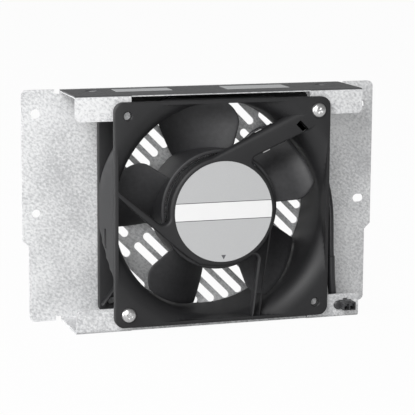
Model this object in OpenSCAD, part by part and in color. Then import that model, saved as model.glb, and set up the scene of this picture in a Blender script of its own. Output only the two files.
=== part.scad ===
// Cooling fan on its mounting bracket.
// The origin is on the fan's axis, at the rear face of the bracket's back plate.
// X runs to the right, Z runs up, and -Y points forward, to the fan's label side.

/* [Bracket] */
// Thickness of the sheet metal
sheet_t = 1.2; // [0.9:0.1:1.5]
// Width of the back plate over its ears
plate_w = 200.2; // [196:1:210]
// Width of the back plate below the ears' step
plate_low_w = 193.4; // [190:1:195]
// Height where the ears' step starts, below the fan's axis
ear_step_z = 17.8; // [12:1:24]
// Height of the bracket above the fan's axis
bracket_top = 63; // [62.5:0.5:66]
// Height of the bracket below the fan's axis
bracket_bottom = 62.4; // [62:0.2:66]
// Depth from the tabs' front face to the plate's rear face
bracket_depth = 36.2; // [35.5:0.2:38]
// Width of the folded top and bottom flanges
flange_w = 158.6; // [150:1:159]
// Clear width between the left and right tabs
tab_gap_w = 99; // [96:1:101]
// Clear height between the upper and lower tabs
tab_gap_h = 99.2; // [97:1:101]
// Outer radius of the bends
bend_r = 1.8; // [1.5:0.1:2.4]
// Corner radius of the plate and tabs
sheet_corner_r = 3; // [1:0.5:4]
// Width of the relief notches beside the flanges
relief_w = 3; // [2:0.5:3.5]
// Depth of the relief notches
relief_d = 2.4; // [1.5:0.2:3]

/* [Bracket holes] */
// Half the distance between the upper ear holes
ear_hole_x = 92.5; // [90:0.5:94]
// Height of the upper ear holes
ear_hole_z = 50.2; // [45:0.5:55]
// Diameter of the upper ear holes
ear_hole_d = 5.3; // [4:0.1:6]
// Distance of the middle ear hole and slot below the axis
ear_slot_z = 3.3; // [0:0.5:8]
// Diameter of the middle ear hole and width of the slot
ear_slot_d = 4.6; // [4:0.1:5.5]
// End to end length of the right ear's slot
ear_slot_len = 6.4; // [5.8:0.2:8]
// Half the distance between the top flange's holes
top_hole_x = 64.8; // [62:0.5:68]
// Diameter of the top flange's holes
top_hole_d = 7; // [5:0.5:8]
// Distance of the top flange's holes from the plate's rear face
top_hole_inset = 12.4; // [10:0.2:15]

/* [Vent slots] */
// Radius of the slotted field
vent_r = 57.7; // [50:0.5:58]
// Distance from one row of slots to the next
vent_pitch = 7.1; // [6.6:0.1:9]
// Width of a slot
vent_slot_w = 4.2; // [3:0.1:5]
// Inner radius of the solid ring in the field
vent_ring_in = 30.6; // [26:0.2:31]
// Outer radius of the solid ring in the field
vent_ring_out = 36; // [35:0.2:40]
// Radius of the solid middle of the field
vent_core_r = 8; // [6:0.5:12]

/* [Fan housing] */
// Width and height of the fan
fan_w = 119; // [118.5:0.1:119.5]
// Depth of the fan
fan_d = 38; // [37.6:0.1:38.4]
// Distance of the fan's mounting holes from its edges
hole_edge = 7.1; // [6.9:0.1:7.3]
// Diameter of the fan's mounting holes
fan_hole_d = 4.5; // [4.2:0.1:4.8]
// Thickness of the fan's flanges
flange_t = 4.2; // [3.8:0.1:4.6]
// Corner radius of the fan's flanges
fan_corner_r = 5; // [3:0.5:7]
// Radius of the throat
throat_r = 57.4; // [57.1:0.1:57.6]
// Radius of the round edge at the mouth
flare_r = 11; // [9:0.5:11.5]
// Thinnest wall beside the mouth
wall_t = 1.8; // [1.6:0.1:1.9]
// Outer radius of the barrel at the front
barrel_front_r = 69.7; // [69.2:0.1:69.8]
// Outer radius of the barrel at the rear
barrel_rear_r = 59.4; // [59.2:0.1:60.5]

/* [Hub and struts] */
// Outer radius of the fixed hub
cup_r = 29.6; // [29.2:0.1:30.4]
// Distance of the hub's face behind the fan's front face
cup_front = 0.4; // [0.2:0.1:0.6]
// Depth of the hub's skirt
cup_d = 6.1; // [5.6:0.1:6.4]
// Thickness of the hub's front wall
cup_wall = 2.6; // [2.2:0.1:2.8]
// Radius of the hub's front edge
cup_edge_r = 2.2; // [1.5:0.1:2.4]
// Thickness of the hub's skirt
cup_skirt_t = 1.8; // [1.5:0.1:2.2]
// Distance of the struts' front behind the fan's front face
strut_front = 0.5; // [0.3:0.1:0.8]
// Depth of the struts
strut_d = 4.1; // [3.6:0.1:4.2]
// Radius of the label
label_r = 27.2; // [26:0.1:27.3]
// Thickness of the label
label_t = 0.2; // [0.1:0.05:0.3]

/* [Impeller] */
// Number of blades
blades = 5; // [3:1:5]
// Radius of the blades' tips
blade_tip_r = 56.5; // [55.5:0.1:56.7]
// Outer radius of the impeller's hub
hub_r = 32.4; // [31.8:0.1:33]
// Wall of the impeller's hub
hub_wall = 2; // [1.6:0.1:2.4]
// Distance of the hub's open end behind the fan's front face
hub_front = 8; // [7.6:0.1:8.4]
// Distance of the hub's closed end behind the fan's front face
hub_rear = 35.6; // [35.2:0.1:36]
// Thickness of the hub's closed end
hub_end_t = 2.4; // [2:0.1:2.6]
// Radius of the hub's rear edge
hub_edge_r = 3; // [2:0.2:4]
// Depth at which the blades begin
blade_front = 12; // [11:0.5:13]
// Depth at which the blades end
blade_rear = 34; // [32:0.5:34.4]
// Thickness of a blade in its middle, measured along the axis
blade_t = 1.9; // [1.2:0.1:2.2]
// Thickness of a blade at its edges
blade_edge_t = 0.9; // [0.6:0.1:1.2]

/* [Motor] */
// Diameter of the shaft
shaft_d = 4; // [3.8:0.1:4.2]
// Outer diameter of the ball bearings
bearing_d = 13; // [12.6:0.2:13.4]
// Width of a ball bearing
bearing_w = 5; // [4.6:0.1:5.4]
// Diameter of a bearing ball
ball_d = 2; // [1.8:0.1:2.1]
// Number of balls in a bearing
ball_count = 7; // [5:1:7]
// Radial play left in each ball's groove
ball_play = 0.03; // [0.02:0.01:0.05]
// Distance of the front bearing behind the fan's front face
front_bearing_y = 4; // [3.9:0.1:4.4]
// Distance of the rear bearing behind the fan's front face
rear_bearing_y = 23; // [22.6:0.1:23.4]
// Outer radius of the bearing tube
tube_r = 8.5; // [8.2:0.1:8.8]
// Length of the lamination stacks
stack_h = 10; // [8:0.5:10.5]
// Distance of the stacks' middle behind the fan's front face
stack_mid = 17.5; // [17:0.1:18]
// Outer radius of the stator
stator_r = 24.1; // [23.8:0.1:24.3]
// Air gap between the stator and the rotor
air_gap = 0.4; // [0.3:0.05:0.6]
// Number of the rotor's cage bars
cage_bars = 17; // [11:1:23]
// Thickness of the rotor cup
rotor_cup_t = 1.2; // [0.8:0.1:1.4]

/* [Lead and connector] */
// Diameter of the supply lead
lead_d = 3.6; // [3.2:0.1:4]
// Diameter of the sleeve on the lead's lower end
sleeve_d = 4.5; // [4.2:0.1:4.8]
// Diameter of a single insulated wire
wire_d = 1.9; // [1.5:0.1:1.9]
// Width of the connector
plug_w = 7.2; // [7:0.1:7.8]
// Height of the connector
plug_h = 4.4; // [4.2:0.1:4.8]
// Length of the connector
plug_len = 13.8; // [12:0.2:16]
// How far the connector stands out in front of its tab
plug_out = 7; // [5:0.5:8]

/* [Fasteners] */
// Diameter of the screws' heads
screw_head_d = 7.8; // [7:0.1:8.2]
// Height of the screws' heads
screw_head_h = 2.6; // [2:0.1:3]
// Diameter of the screws' shanks
screw_d = 4; // [3.6:0.1:4.1]
// Length of the screws' shanks
screw_len = 9; // [8:0.2:10]
// Diameter of the clinch nuts
nut_d = 7.6; // [7:0.1:8]
// Height of the clinch nuts behind the tabs
nut_h = 3; // [2.4:0.1:3.4]

/* [Hidden] */
$fn = 64;
// Overrun of every cut
cut = 1;
// Small rounding of turned and moulded edges
edge_r = 0.6;
// Wall of a clinch nut's spigot in its tab
nut_spigot_t = 0.7;
// Turn of the screws' cross
cross_angle = 20;
// How much thinner the wires behind the connector are
tail_fall = 0.3;
// Seat between the struts' ends and the hub
hub_seat = 0.05;
// Depth of the fan's front face
fan_y = -(bracket_depth + flange_t);
hole_half = fan_w / 2 - hole_edge;
inner_flat = fan_w / 2 - wall_t;
strut_rear = strut_front + strut_d;
shaft_r = shaft_d / 2;
bearing_r = bearing_d / 2;
hub_in_r = hub_r - hub_wall;
hub_end_y = hub_rear - hub_end_t;
rotor_in_r = stator_r + air_gap;
cup_in_r = hub_in_r - rotor_cup_t;
stack_front = stack_mid - stack_h / 2;
stack_rear = stack_mid + stack_h / 2;

// Rows of slots: the middle slot's end and the outer slot's start, as shares of the row's half length
vent_mid_shares = [0.24, 0.28, 0, 1];
vent_out_shares = [0.48, 0.44, 0.29, 1];

// Struts: direction, then inner and outer edge at the hub and at the rim as shares of the hub's radius
strut_angles = [24.3, 138, 263.3];
strut_in_hub_shares = [0.65, 0.885, 0.76];
strut_in_rim_shares = [0.63, 0.985, 0.77];
strut_out_hub_shares = [0.97, 1.05, 0.965];
strut_out_rim_shares = [1.04, 1.05, 0.925];
lead_strut_mid = cup_r * (strut_in_hub_shares[0] + strut_out_hub_shares[0]) / 2;

// Bearing rings
race_r = (shaft_r + bearing_r) / 2;
groove_r = ball_d / 2 + 2 * ball_play;
ring_t = 1.5 * ball_d / 2;
cage_wall_share = 0.25;
cage_half_share = 0.65;
nut_spigot_d = screw_d + 2 * nut_spigot_t;
// Bearing seat
tube_shoulder = 1;
spring_t = 1;

// Rotor and stator details
bush_r = 5;
bush_nose_r = 3;
bush_front = 30;
shaft_front = 1.9;
shaft_sink = 0.2;
shaft_rear = hub_rear - shaft_sink;
clip_t = 0.6;
clip_r = 4;
clip_mouth_w = 2.8;
shim_t = 0.3;
groove_depth = 0.5;
end_ring_h = 2.2;
end_ring_t = 3.6;
bar_r = 1.1;
yoke_t = 3.6;
pole_w = 8;
poles = 4;
shoe_t = 3;
shoe_half_angle = 36;
insulator_t = 0.8;
coil_t = 3;
coil_in_r = 13;
coil_out_r = 19.2;
band_t = 1.2;
band_depth = 2;
band_angle = 3;
band_start_angle = 18;
board_t = 1.2;
board_front = 6.6;
board_hole_angles = [200, 240];
board_in_r = 9.2;
board_out_r = 21;
post_r = 1.3;
post_place_r = 11;
protector_r = 2.5;
protector_h = 7;
protector_place_r = 17.4;
pin_size = 1;

// Wall slot and grommet for the leads
port_in_r = 52;
port_out_r = 93;
port_half_w = 4;
port_rear = 11.8;
grommet_slot_half = 2.6;
grommet_slot_rear = 10.3;
grommet_in_r = 60;
grommet_out_r = 65;

// Connector in its tab
plug_edge = 7.8;
plug_rise = 7;
plug_x = flange_w / 2 - plug_edge;
plug_z = plug_rise - bracket_bottom;
plug_wall = 0.55;
plug_rear = flange_t - plug_out + plug_len;
plug_clear = 0.2;
ear_r = 2.4;
ear_off = 0.7;
ear_t = 1.5;
ear_x = plug_x - plug_w / 2 - ear_off;
notch_w = 2.5;
notch_h = 0.9;
contact_size = 1.4;
contact_front = 1;

// Stickers: left edge, right edge, front and rear, measured from the fan's front face
left_sticker_box = [-53, -22.5, 20.6, 31.5];
right_sticker_box = [7.3, 42.4, 17.5, 32];
sticker_t = 0.15;

// Wires run between these hand-picked points, in mm from the centre of the fan's front face
wire_a_route = [[4, 5.6, 15], [3.6, 5.6, 20], [5, 5.6, 25], [9.5, 5.6, 29], [20, 5.6, 33.8],
                [30, 5.6, 38.3], [40, 5.8, 42.8], [44, 7, 44.6], [47.2, 9, 45.9]];
wire_b_route = [[1, 5.6, 15], [0.4, 5.6, 21], [2.6, 5.6, 27.6], [8, 5.6, 31.4], [19, 5.6, 36.4],
                [29, 5.6, 40.9], [39, 5.8, 45.4], [43, 7, 47.1], [46.4, 9, 48]];
lead_route = [[47, 9.1, 47], [49, 10, 47.6], [52, 12, 47.2], [55.8, 14.4, 44.8], [59.4, 16.6, 41],
              [61.6, 18, 35.5], [62, 18.4, 29], [62.2, 18.4, 23], [63, 17.2, 15], [64.2, 14, 5.5],
              [64.6, 11.6, -3], [64.5, 10, -14], [64.4, 9.2, -24], [64.5, 9, -29]];
sleeve_route = [[64.5, 9, -29.2], [64.6, 8.8, -34], [64.9, 8.6, -42], [65.5, 8.8, -47.5], [65.8, 9, -50],
                [65.8, 9, -51.6]];
tail_a_route = [[64.9, 9, -51.8], [64.9, 9.4, -53.4], [65.2, 10.9, -55], [66.4, 12.8, -56],
                [68.2, 14, -56.2], [69.5, 13.3, -55.7], [69.7, 11.2, -55.4]];
tail_b_route = [[66.7, 9, -51.8], [66.7, 9.6, -53.2], [66.9, 11.4, -54], [68.4, 13.4, -54],
                [70.6, 14.6, -54.1], [72.3, 14.4, -54.8], [73.2, 13.2, -55.3], [73.3, 11.2, -55.4]];

// A flat shape drawn in X and Z, filled from one depth of the fan to another
module slab(front, rear) {
    translate([0, fan_y + rear, 0])
        rotate([90, 0, 0])
            linear_extrude(height = rear - front)
                children();
}

// A turned shape drawn as radius and depth
module turned(angle = 360) {
    translate([0, fan_y, 0])
        rotate([-90, 0, 0])
            rotate_extrude(angle = angle, $fn = 96)
                children();
}

// A ring between two radii and two depths
module ring(inner_r, outer_r, front, rear) {
    turned()
        translate([inner_r, front])
            square([outer_r - inner_r, rear - front]);
}

module rounded_rect(w, h, r) {
    square([w - 2 * r, h], center = true);
    square([w, h - 2 * r], center = true);
    for (sx = [-1, 1], sz = [-1, 1])
        translate([sx * (w / 2 - r), sz * (h / 2 - r)])
            circle(r);
}

// A slot with round ends between two places along X
module slot_2d(from, to, w) {
    translate([from + w / 2, -w / 2])
        square([to - from - w, w]);
    translate([from + w / 2, 0])
        circle(d = w);
    translate([to - w / 2, 0])
        circle(d = w);
}

// One row of vent slots, by its number from the middle
module vent_row(k) {
    across = abs(k) * vent_pitch;
    half = sqrt(pow(vent_r, 2) - pow(across, 2));
    ring_out = across < vent_ring_out ? sqrt(pow(vent_ring_out, 2) - pow(across, 2)) : 0;
    ring_in = across < vent_ring_in ? sqrt(pow(vent_ring_in, 2) - pow(across, 2)) : 0;
    core = across < vent_core_r ? sqrt(pow(vent_core_r, 2) - pow(across, 2)) : 0;
    broken = across >= vent_ring_out - vent_slot_w / 2;
    row = broken ? abs(k) - ceil((vent_ring_out - vent_slot_w / 2) / vent_pitch) : 0;
    mid_end = broken ? half * vent_mid_shares[row] : ring_in;
    out_start = broken ? half * vent_out_shares[row] : ring_out;
    for (side = [0, 180])
        rotate(side)
            if (half - out_start > vent_slot_w)
                slot_2d(out_start, half, vent_slot_w);
    if (core > 0) {
        slot_2d(core, mid_end, vent_slot_w);
        slot_2d(-mid_end, -core, vent_slot_w);
    } else if (mid_end > vent_slot_w) {
        slot_2d(-mid_end, mid_end, vent_slot_w);
    }
}

module vent_field() {
    rows = floor(vent_r / vent_pitch);
    for (k = [-rows:rows])
        rotate(-45)
            translate([0, k * vent_pitch])
                vent_row(k);
}

// Outline of the back plate, seen from the front
module plate_2d() {
    step = (plate_w - plate_low_w) / 2;
    difference() {
        union() {
            intersection() {
                translate([0, (bracket_top - bracket_bottom) / 2])
                    rounded_rect(plate_w, bracket_top + bracket_bottom, sheet_corner_r);
                translate([-plate_w / 2, -ear_step_z])
                    square([plate_w, bracket_top + ear_step_z]);
            }
            translate([0, (bracket_top - bracket_bottom) / 2])
                rounded_rect(plate_low_w, bracket_top + bracket_bottom, sheet_corner_r);
            polygon([[-plate_w / 2, -ear_step_z], [-plate_w / 2 + step, -ear_step_z - step],
                     [plate_w / 2 - step, -ear_step_z - step], [plate_w / 2, -ear_step_z]]);
        }
        for (sx = [-1, 1]) {
            translate([sx * (flange_w + relief_w) / 2 - relief_w / 2, bracket_top - relief_d])
                square([relief_w, relief_d + cut]);
            translate([sx * (flange_w + relief_w) / 2 - relief_w / 2, -bracket_bottom - cut])
                square([relief_w, relief_d + cut]);
        }
        for (sx = [-1, 1])
            translate([sx * ear_hole_x, ear_hole_z])
                circle(d = ear_hole_d);
        translate([-ear_hole_x, -ear_slot_z])
            circle(d = ear_slot_d);
        translate([ear_hole_x, -ear_slot_z])
            slot_2d(-ear_slot_len / 2, ear_slot_len / 2, ear_slot_d);
        vent_field();
    }
}

// Side view of the folded sheet, as depth and height: plate, flanges and tabs in one
module fold_2d() {
    h = bracket_top + bracket_bottom;
    translate([-bracket_depth / 2, (bracket_top - bracket_bottom) / 2])
        difference() {
            rounded_rect(bracket_depth, h, bend_r);
            rounded_rect(bracket_depth - 2 * sheet_t, h - 2 * sheet_t, bend_r - sheet_t);
        }
}

module bracket() {
    color([0.80, 0.81, 0.82])
    difference() {
        union() {
            rotate([90, 0, 0])
                linear_extrude(height = sheet_t)
                    plate_2d();
            difference() {
                translate([flange_w / 2, 0, 0])
                    rotate([90, 0, -90])
                        linear_extrude(height = flange_w)
                            scale([-1, 1])
                                fold_2d();
                translate([-flange_w / 2 - cut, -sheet_t - edge_r / 2, -bracket_bottom + bend_r])
                    cube([flange_w + 2 * cut, sheet_t + edge_r / 2 + cut, bracket_top + bracket_bottom - 2 * bend_r]);
            }
        }
        // Clear the front wall except for its four tabs
        translate([-flange_w / 2 - cut, -bracket_depth - cut, -tab_gap_h / 2])
            cube([flange_w + 2 * cut, sheet_t + 2 * cut, tab_gap_h]);
        translate([-tab_gap_w / 2, -bracket_depth - cut, -bracket_bottom - cut])
            cube([tab_gap_w, sheet_t + 2 * cut, bracket_top + bracket_bottom + 2 * cut]);
        // Round the tabs' outer corners
        for (sx = [-1, 1], sz = [-1, 1])
            translate([sx * (flange_w / 2 - sheet_corner_r), -bracket_depth, sz * (tab_gap_h / 2 + sheet_corner_r)])
                rotate([90, 0, 0])
                    translate([0, 0, -sheet_t - cut])
                        linear_extrude(height = sheet_t + 2 * cut)
                            difference() {
                                translate([sx > 0 ? 0 : -sheet_corner_r - cut, sz > 0 ? -sheet_corner_r - cut : 0])
                                    square(sheet_corner_r + cut);
                                circle(sheet_corner_r);
                            }
        // Holes in the top flange
        for (sx = [-1, 1])
            translate([sx * top_hole_x, -top_hole_inset, bracket_top - sheet_t - cut])
                cylinder(d = top_hole_d, h = sheet_t + 2 * cut);
        // Holes for the clinch nuts
        for (s = [-1, 1])
            translate([s * hole_half, -bracket_depth + sheet_t + cut, s * hole_half])
                rotate([90, 0, 0])
                    cylinder(d = nut_spigot_d, h = sheet_t + 2 * cut);
        // Opening for the connector
        slab(flange_t - cut, flange_t + sheet_t + cut) {
            translate([plug_x, plug_z])
                square([plug_w + 2 * plug_clear, plug_h + 2 * plug_clear], center = true);
            translate([plug_x - notch_w / 2, plug_z + plug_h / 2])
                square([notch_w, plug_clear + notch_h]);
        }
    }
}
// The strut's outline: it runs from the hub out to the mouth
module strut_2d(i) {
    rotate(strut_angles[i])
        polygon([[0, cup_r * strut_in_hub_shares[i]],
                 [throat_r + flare_r, cup_r * strut_in_rim_shares[i]],
                 [throat_r + flare_r, cup_r * strut_out_rim_shares[i]],
                 [0, cup_r * strut_out_hub_shares[i]]]);
}

module hub_shape() {
    turned()
        difference() {
            union() {
                translate([0, cup_front])
                    square([cup_r, cup_d]);
                translate([0, cup_front])
                    square([tube_r, rear_bearing_y + bearing_w]);
            }
            translate([tube_r, cup_front + cup_wall])
                square([cup_r - cup_skirt_t - tube_r, cup_d + cut]);
            difference() {
                translate([cup_r - cup_edge_r, cup_front - cut])
                    square([cup_edge_r + cut, cup_edge_r + cut]);
                translate([cup_r - cup_edge_r, cup_front + cup_edge_r])
                    circle(cup_edge_r);
            }
            translate([-cut, cup_front - cut])
                square([label_r + cut, cut + label_t]);
            translate([-cut, -cut])
                square([bearing_r + cut, cut + front_bearing_y + bearing_w]);
            translate([-cut, rear_bearing_y - spring_t])
                square([bearing_r + cut, bearing_w + spring_t + fan_d]);
            translate([-cut, 0])
                square([bearing_r - tube_shoulder + cut, fan_d]);
        }
}

// The barrel's outside between two depths
module barrel_outside(front, rear) {
    intersection() {
        turned()
            polygon([[0, 0], [barrel_front_r, 0], [barrel_rear_r, fan_d], [0, fan_d]]);
        slab(front, rear)
            square(fan_w, center = true);
    }
}

module mouth_cut() {
    intersection() {
        turned()
            difference() {
                translate([0, -cut])
                    square([throat_r + flare_r, fan_d + 2 * cut]);
                translate([throat_r + flare_r, flare_r])
                    circle(flare_r);
                translate([throat_r, flare_r])
                    square([flare_r + cut, fan_d + 2 * cut]);
            }
        slab(-cut, fan_d + cut)
            square(2 * inner_flat, center = true);
    }
}

// Way through the barrel's wall for the leads, widened or narrowed by a margin on both sides
module lead_port(rear, margin) {
    rotate([0, -strut_angles[0], 0])
        translate([port_in_r, fan_y + strut_rear, lead_strut_mid - port_half_w + margin])
            cube([port_out_r - port_in_r, rear - strut_rear, 2 * (port_half_w - margin)]);
}

module flange_holes_2d() {
    for (sx = [-1, 1], sz = [-1, 1])
        translate([sx * hole_half, sz * hole_half])
            circle(d = fan_hole_d);
}

// Front of the casting: the flange and the struts
module fan_frame() {
    recess = [7.1, 3.3];
    recess_place = 43.7;
    color([0.16, 0.16, 0.17])
    difference() {
        union() {
            difference() {
                union() {
                    slab(0, flange_t)
                        rounded_rect(fan_w, fan_w, fan_corner_r);
                    barrel_outside(flange_t, strut_rear);
                }
                mouth_cut();
            }
            intersection() {
                slab(strut_front, strut_rear)
                    difference() {
                        for (i = [0:len(strut_angles) - 1])
                            strut_2d(i);
                        circle(cup_r + hub_seat, $fn = 96);
                    }
                barrel_outside(0, fan_d);
            }
        }
        slab(-cut, strut_rear + cut)
            flange_holes_2d();
        // Pocket in the corner where the wide strut ends
        translate([recess_place, fan_y, recess_place])
            rotate([0, 45, 0])
                cube([recess[0], 2 * wall_t, recess[1]], center = true);
    }
}

// Hub of the casting, with the bearing tube and the way out for the leads
module fan_hub() {
    color([0.16, 0.16, 0.17])
    difference() {
        hub_shape();
        rotate([0, -strut_angles[0], 0])
            translate([0, fan_y + strut_rear, lead_strut_mid - port_half_w])
                cube([cup_r + cut, cup_front + cup_d - strut_rear + cut, cup_r - lead_strut_mid + port_half_w + cut]);
    }
}

// Barrel of the casting, with a long eye in both flat sides
module fan_barrel() {
    eye_len = 11;
    eye_w = 4;
    eye_z = 15;
    eye_y = 20.5;
    color([0.16, 0.16, 0.17])
    difference() {
        barrel_outside(strut_rear, fan_d - flange_t);
        mouth_cut();
        for (sx = [-1, 1])
            translate([sx * fan_w / 2, fan_y + eye_y, -eye_z])
                rotate([0, 90, 0])
                    translate([0, 0, -wall_t / 2])
                        linear_extrude(height = wall_t)
                            rotate(90)
                                slot_2d(-eye_len / 2, eye_len / 2, eye_w);
        lead_port(port_rear, 0);
    }
}

// Rear flange of the casting
module rear_flange() {
    color([0.16, 0.16, 0.17])
    slab(fan_d - flange_t, fan_d)
        difference() {
            rounded_rect(fan_w, fan_w, fan_corner_r);
            circle(throat_r, $fn = 96);
            flange_holes_2d();
        }
}

module hub_label() {
    color([0.78, 0.79, 0.8])
    ring(0, label_r - label_t, cup_front, cup_front + label_t);
}

// Angles of a blade's front and rear edge, which change with the radius
blade_front_angle = 75;
blade_rear_angle = 126;
blade_sweep_angle = 6.2;
blade_corner_angle = 9;
blade_corner_share = 0.8;
blade_camber_share = 0.5;
blade_root_r = hub_r - hub_wall / 2;
blade_rows = 6;
blade_steps = 9;

function rise(r) = (r - blade_root_r) / (blade_tip_r - blade_root_r);
function front_angle(r) =
    blade_front_angle + blade_corner_angle
    * pow(max(0, r - blade_corner_share * blade_tip_r) / ((1 - blade_corner_share) * blade_tip_r), 2);
function rear_angle(r) = blade_rear_angle - blade_sweep_angle * rise(r);
function blade_depth(s) =
    blade_front + (blade_rear - blade_front) * (s - blade_camber_share * s * (1 - s));
function blade_half(s) = (blade_edge_t + (blade_t - blade_edge_t) * 4 * s * (1 - s)) / 2;
function blade_point(r, s, side) =
    let (a = front_angle(r) + (rear_angle(r) - front_angle(r)) * s)
    [r * cos(a), fan_y + blade_depth(s) + side * blade_half(s), r * sin(a)];
function quad(a, b, c, d) = [[a, b, c], [a, c, d]];

module blade() {
    n = blade_steps + 1;
    rows = [for (i = [0:blade_rows]) blade_root_r + (blade_tip_r - blade_root_r) * i / blade_rows];
    near = [for (r = rows) for (j = [0:blade_steps]) blade_point(r, j / blade_steps, -1)];
    far = [for (r = rows) for (j = [0:blade_steps]) blade_point(r, j / blade_steps, 1)];
    m = len(near);
    last = blade_rows * n;
    faces = concat(
        [for (i = [0:blade_rows - 1]) for (j = [0:blade_steps - 1])
            for (f = quad(i * n + j, i * n + j + 1, (i + 1) * n + j + 1, (i + 1) * n + j)) f],
        [for (i = [0:blade_rows - 1]) for (j = [0:blade_steps - 1])
            for (f = quad(m + i * n + j, m + (i + 1) * n + j, m + (i + 1) * n + j + 1, m + i * n + j + 1)) f],
        [for (j = [0:blade_steps - 1]) for (f = quad(j, m + j, m + j + 1, j + 1)) f],
        [for (j = [0:blade_steps - 1])
            for (f = quad(last + j, last + j + 1, m + last + j + 1, m + last + j)) f],
        [for (i = [0:blade_rows - 1])
            for (f = quad(i * n, (i + 1) * n, m + (i + 1) * n, m + i * n)) f],
        [for (i = [0:blade_rows - 1]) for (f = quad(i * n + blade_steps, m + i * n + blade_steps,
            m + (i + 1) * n + blade_steps, (i + 1) * n + blade_steps)) f]);
    polyhedron(points = concat(near, far), faces = faces, convexity = 4);
}

module impeller() {
    color([0.1, 0.1, 0.11])
    union() {
        turned()
            difference() {
                translate([bush_r, hub_front])
                    square([hub_r - bush_r, hub_rear - hub_front]);
                translate([0, hub_front - cut])
                    square([hub_in_r, hub_end_y - hub_front + cut]);
                difference() {
                    translate([hub_r - hub_edge_r, hub_rear - hub_edge_r])
                        square(hub_edge_r + cut);
                    translate([hub_r - hub_edge_r, hub_rear - hub_edge_r])
                        circle(hub_edge_r);
                }
                difference() {
                    translate([hub_r - edge_r, hub_front - cut])
                        square([edge_r + cut, edge_r + cut]);
                    translate([hub_r - edge_r, hub_front + edge_r])
                        circle(edge_r);
                }
            }
        for (k = [0:blades - 1])
            rotate([0, 360 * k / blades, 0])
                blade();
    }
}

module rotor_cup() {
    color([0.6, 0.6, 0.62])
    turned()
        difference() {
            translate([bush_r, hub_front + cut])
                square([hub_in_r - bush_r, hub_end_y - hub_front - cut]);
            translate([0, 0])
                square([cup_in_r, hub_end_y - rotor_cup_t]);
        }
}

module bar_places() {
    for (k = [0:cage_bars - 1])
        rotate(360 * k / cage_bars)
            translate([(rotor_in_r + cup_in_r) / 2, 0])
                circle(bar_r);
}

module rotor_laminations() {
    color([0.45, 0.45, 0.47])
    slab(stack_front, stack_rear)
        difference() {
            circle(cup_in_r, $fn = 96);
            circle(rotor_in_r, $fn = 96);
            bar_places();
        }
}

module rotor_cage() {
    mid_r = (rotor_in_r + cup_in_r) / 2;
    color([0.75, 0.76, 0.78])
    union() {
        for (front = [stack_front - end_ring_h, stack_rear])
            ring(mid_r - end_ring_t / 2, mid_r + end_ring_t / 2, front, front + end_ring_h);
        slab(stack_front - end_ring_h / 2, stack_rear + end_ring_h / 2)
            bar_places();
    }
}

module shaft_bush() {
    nose_front = rear_bearing_y + bearing_w;
    color([0.72, 0.6, 0.3])
    turned()
        difference() {
            union() {
                translate([0, bush_front])
                    square([bush_r, hub_rear - bush_front]);
                translate([0, nose_front])
                    square([bush_nose_r, hub_rear - nose_front]);
            }
            translate([-cut, 0])
                square([shaft_r + cut, fan_d]);
        }
}

module shaft() {
    color([0.8, 0.8, 0.82])
    turned()
        difference() {
            translate([0, shaft_front])
                square([shaft_r, shaft_rear - shaft_front]);
            translate([shaft_r - groove_depth, front_bearing_y - shim_t - clip_t])
                square([groove_depth + cut, clip_t]);
        }
}

module bearing_ring(y, inner_r, outer_r, side) {
    color([0.78, 0.78, 0.8])
    turned()
        difference() {
            translate([inner_r, y])
                square([outer_r - inner_r, bearing_w]);
            translate([race_r - side * (groove_r - ball_d / 2 - ball_play), y + bearing_w / 2])
                circle(groove_r);
        }
}

module bearing_balls(y) {
    color([0.85, 0.85, 0.87])
    for (k = [0:ball_count - 1])
        rotate([0, 360 * k / ball_count, 0])
            translate([race_r, fan_y + y + bearing_w / 2, 0])
                sphere(d = ball_d, $fn = 32);
}

module bearing_cage(y) {
    wall = cage_wall_share * ball_d;
    half = cage_half_share * ball_d;
    color([0.7, 0.58, 0.3])
    difference() {
        ring(race_r - wall / 2, race_r + wall / 2, y + bearing_w / 2 - half, y + bearing_w / 2 + half);
        for (k = [0:ball_count - 1])
            rotate([0, 360 * k / ball_count, 0])
                translate([race_r - wall, fan_y + y + bearing_w / 2, 0])
                    rotate([0, 90, 0])
                        cylinder(d = ball_d + 2 * ball_play, h = 2 * wall);
    }
}

module front_bearing_outer_ring() { bearing_ring(front_bearing_y, bearing_r - ring_t, bearing_r, 1); }
module front_bearing_inner_ring() { bearing_ring(front_bearing_y, shaft_r, shaft_r + ring_t, -1); }
module front_bearing_balls() { bearing_balls(front_bearing_y); }
module front_bearing_cage() { bearing_cage(front_bearing_y); }
module rear_bearing_outer_ring() { bearing_ring(rear_bearing_y, bearing_r - ring_t, bearing_r, 1); }
module rear_bearing_inner_ring() { bearing_ring(rear_bearing_y, shaft_r, shaft_r + ring_t, -1); }
module rear_bearing_balls() { bearing_balls(rear_bearing_y); }
module rear_bearing_cage() { bearing_cage(rear_bearing_y); }

module preload_spring() {
    color([0.7, 0.7, 0.72])
    ring(bearing_r - tube_shoulder, bearing_r - ball_play, rear_bearing_y - spring_t, rear_bearing_y);
}

module retaining_clip() {
    color([0.5, 0.5, 0.52])
    slab(front_bearing_y - shim_t - clip_t, front_bearing_y - shim_t)
        difference() {
            circle(clip_r);
            circle(shaft_r - groove_depth);
            translate([-clip_mouth_w / 2, -clip_r - cut])
                square([clip_mouth_w, clip_r + cut]);
        }
}

module shim_washer() {
    color([0.8, 0.8, 0.82])
    ring(shaft_r, shaft_r + ring_t - ball_play, front_bearing_y - shim_t, front_bearing_y);
}

// Part of a ring between two angles, as an outline
module sector_2d(inner_r, outer_r, from, to) {
    intersection() {
        difference() {
            circle(outer_r, $fn = 96);
            circle(inner_r, $fn = 96);
        }
        polygon([[0, 0], 2 * outer_r * [cos(from), sin(from)],
                 2 * outer_r * [cos((from + to) / 2), sin((from + to) / 2)],
                 2 * outer_r * [cos(to), sin(to)]]);
    }
}

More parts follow.
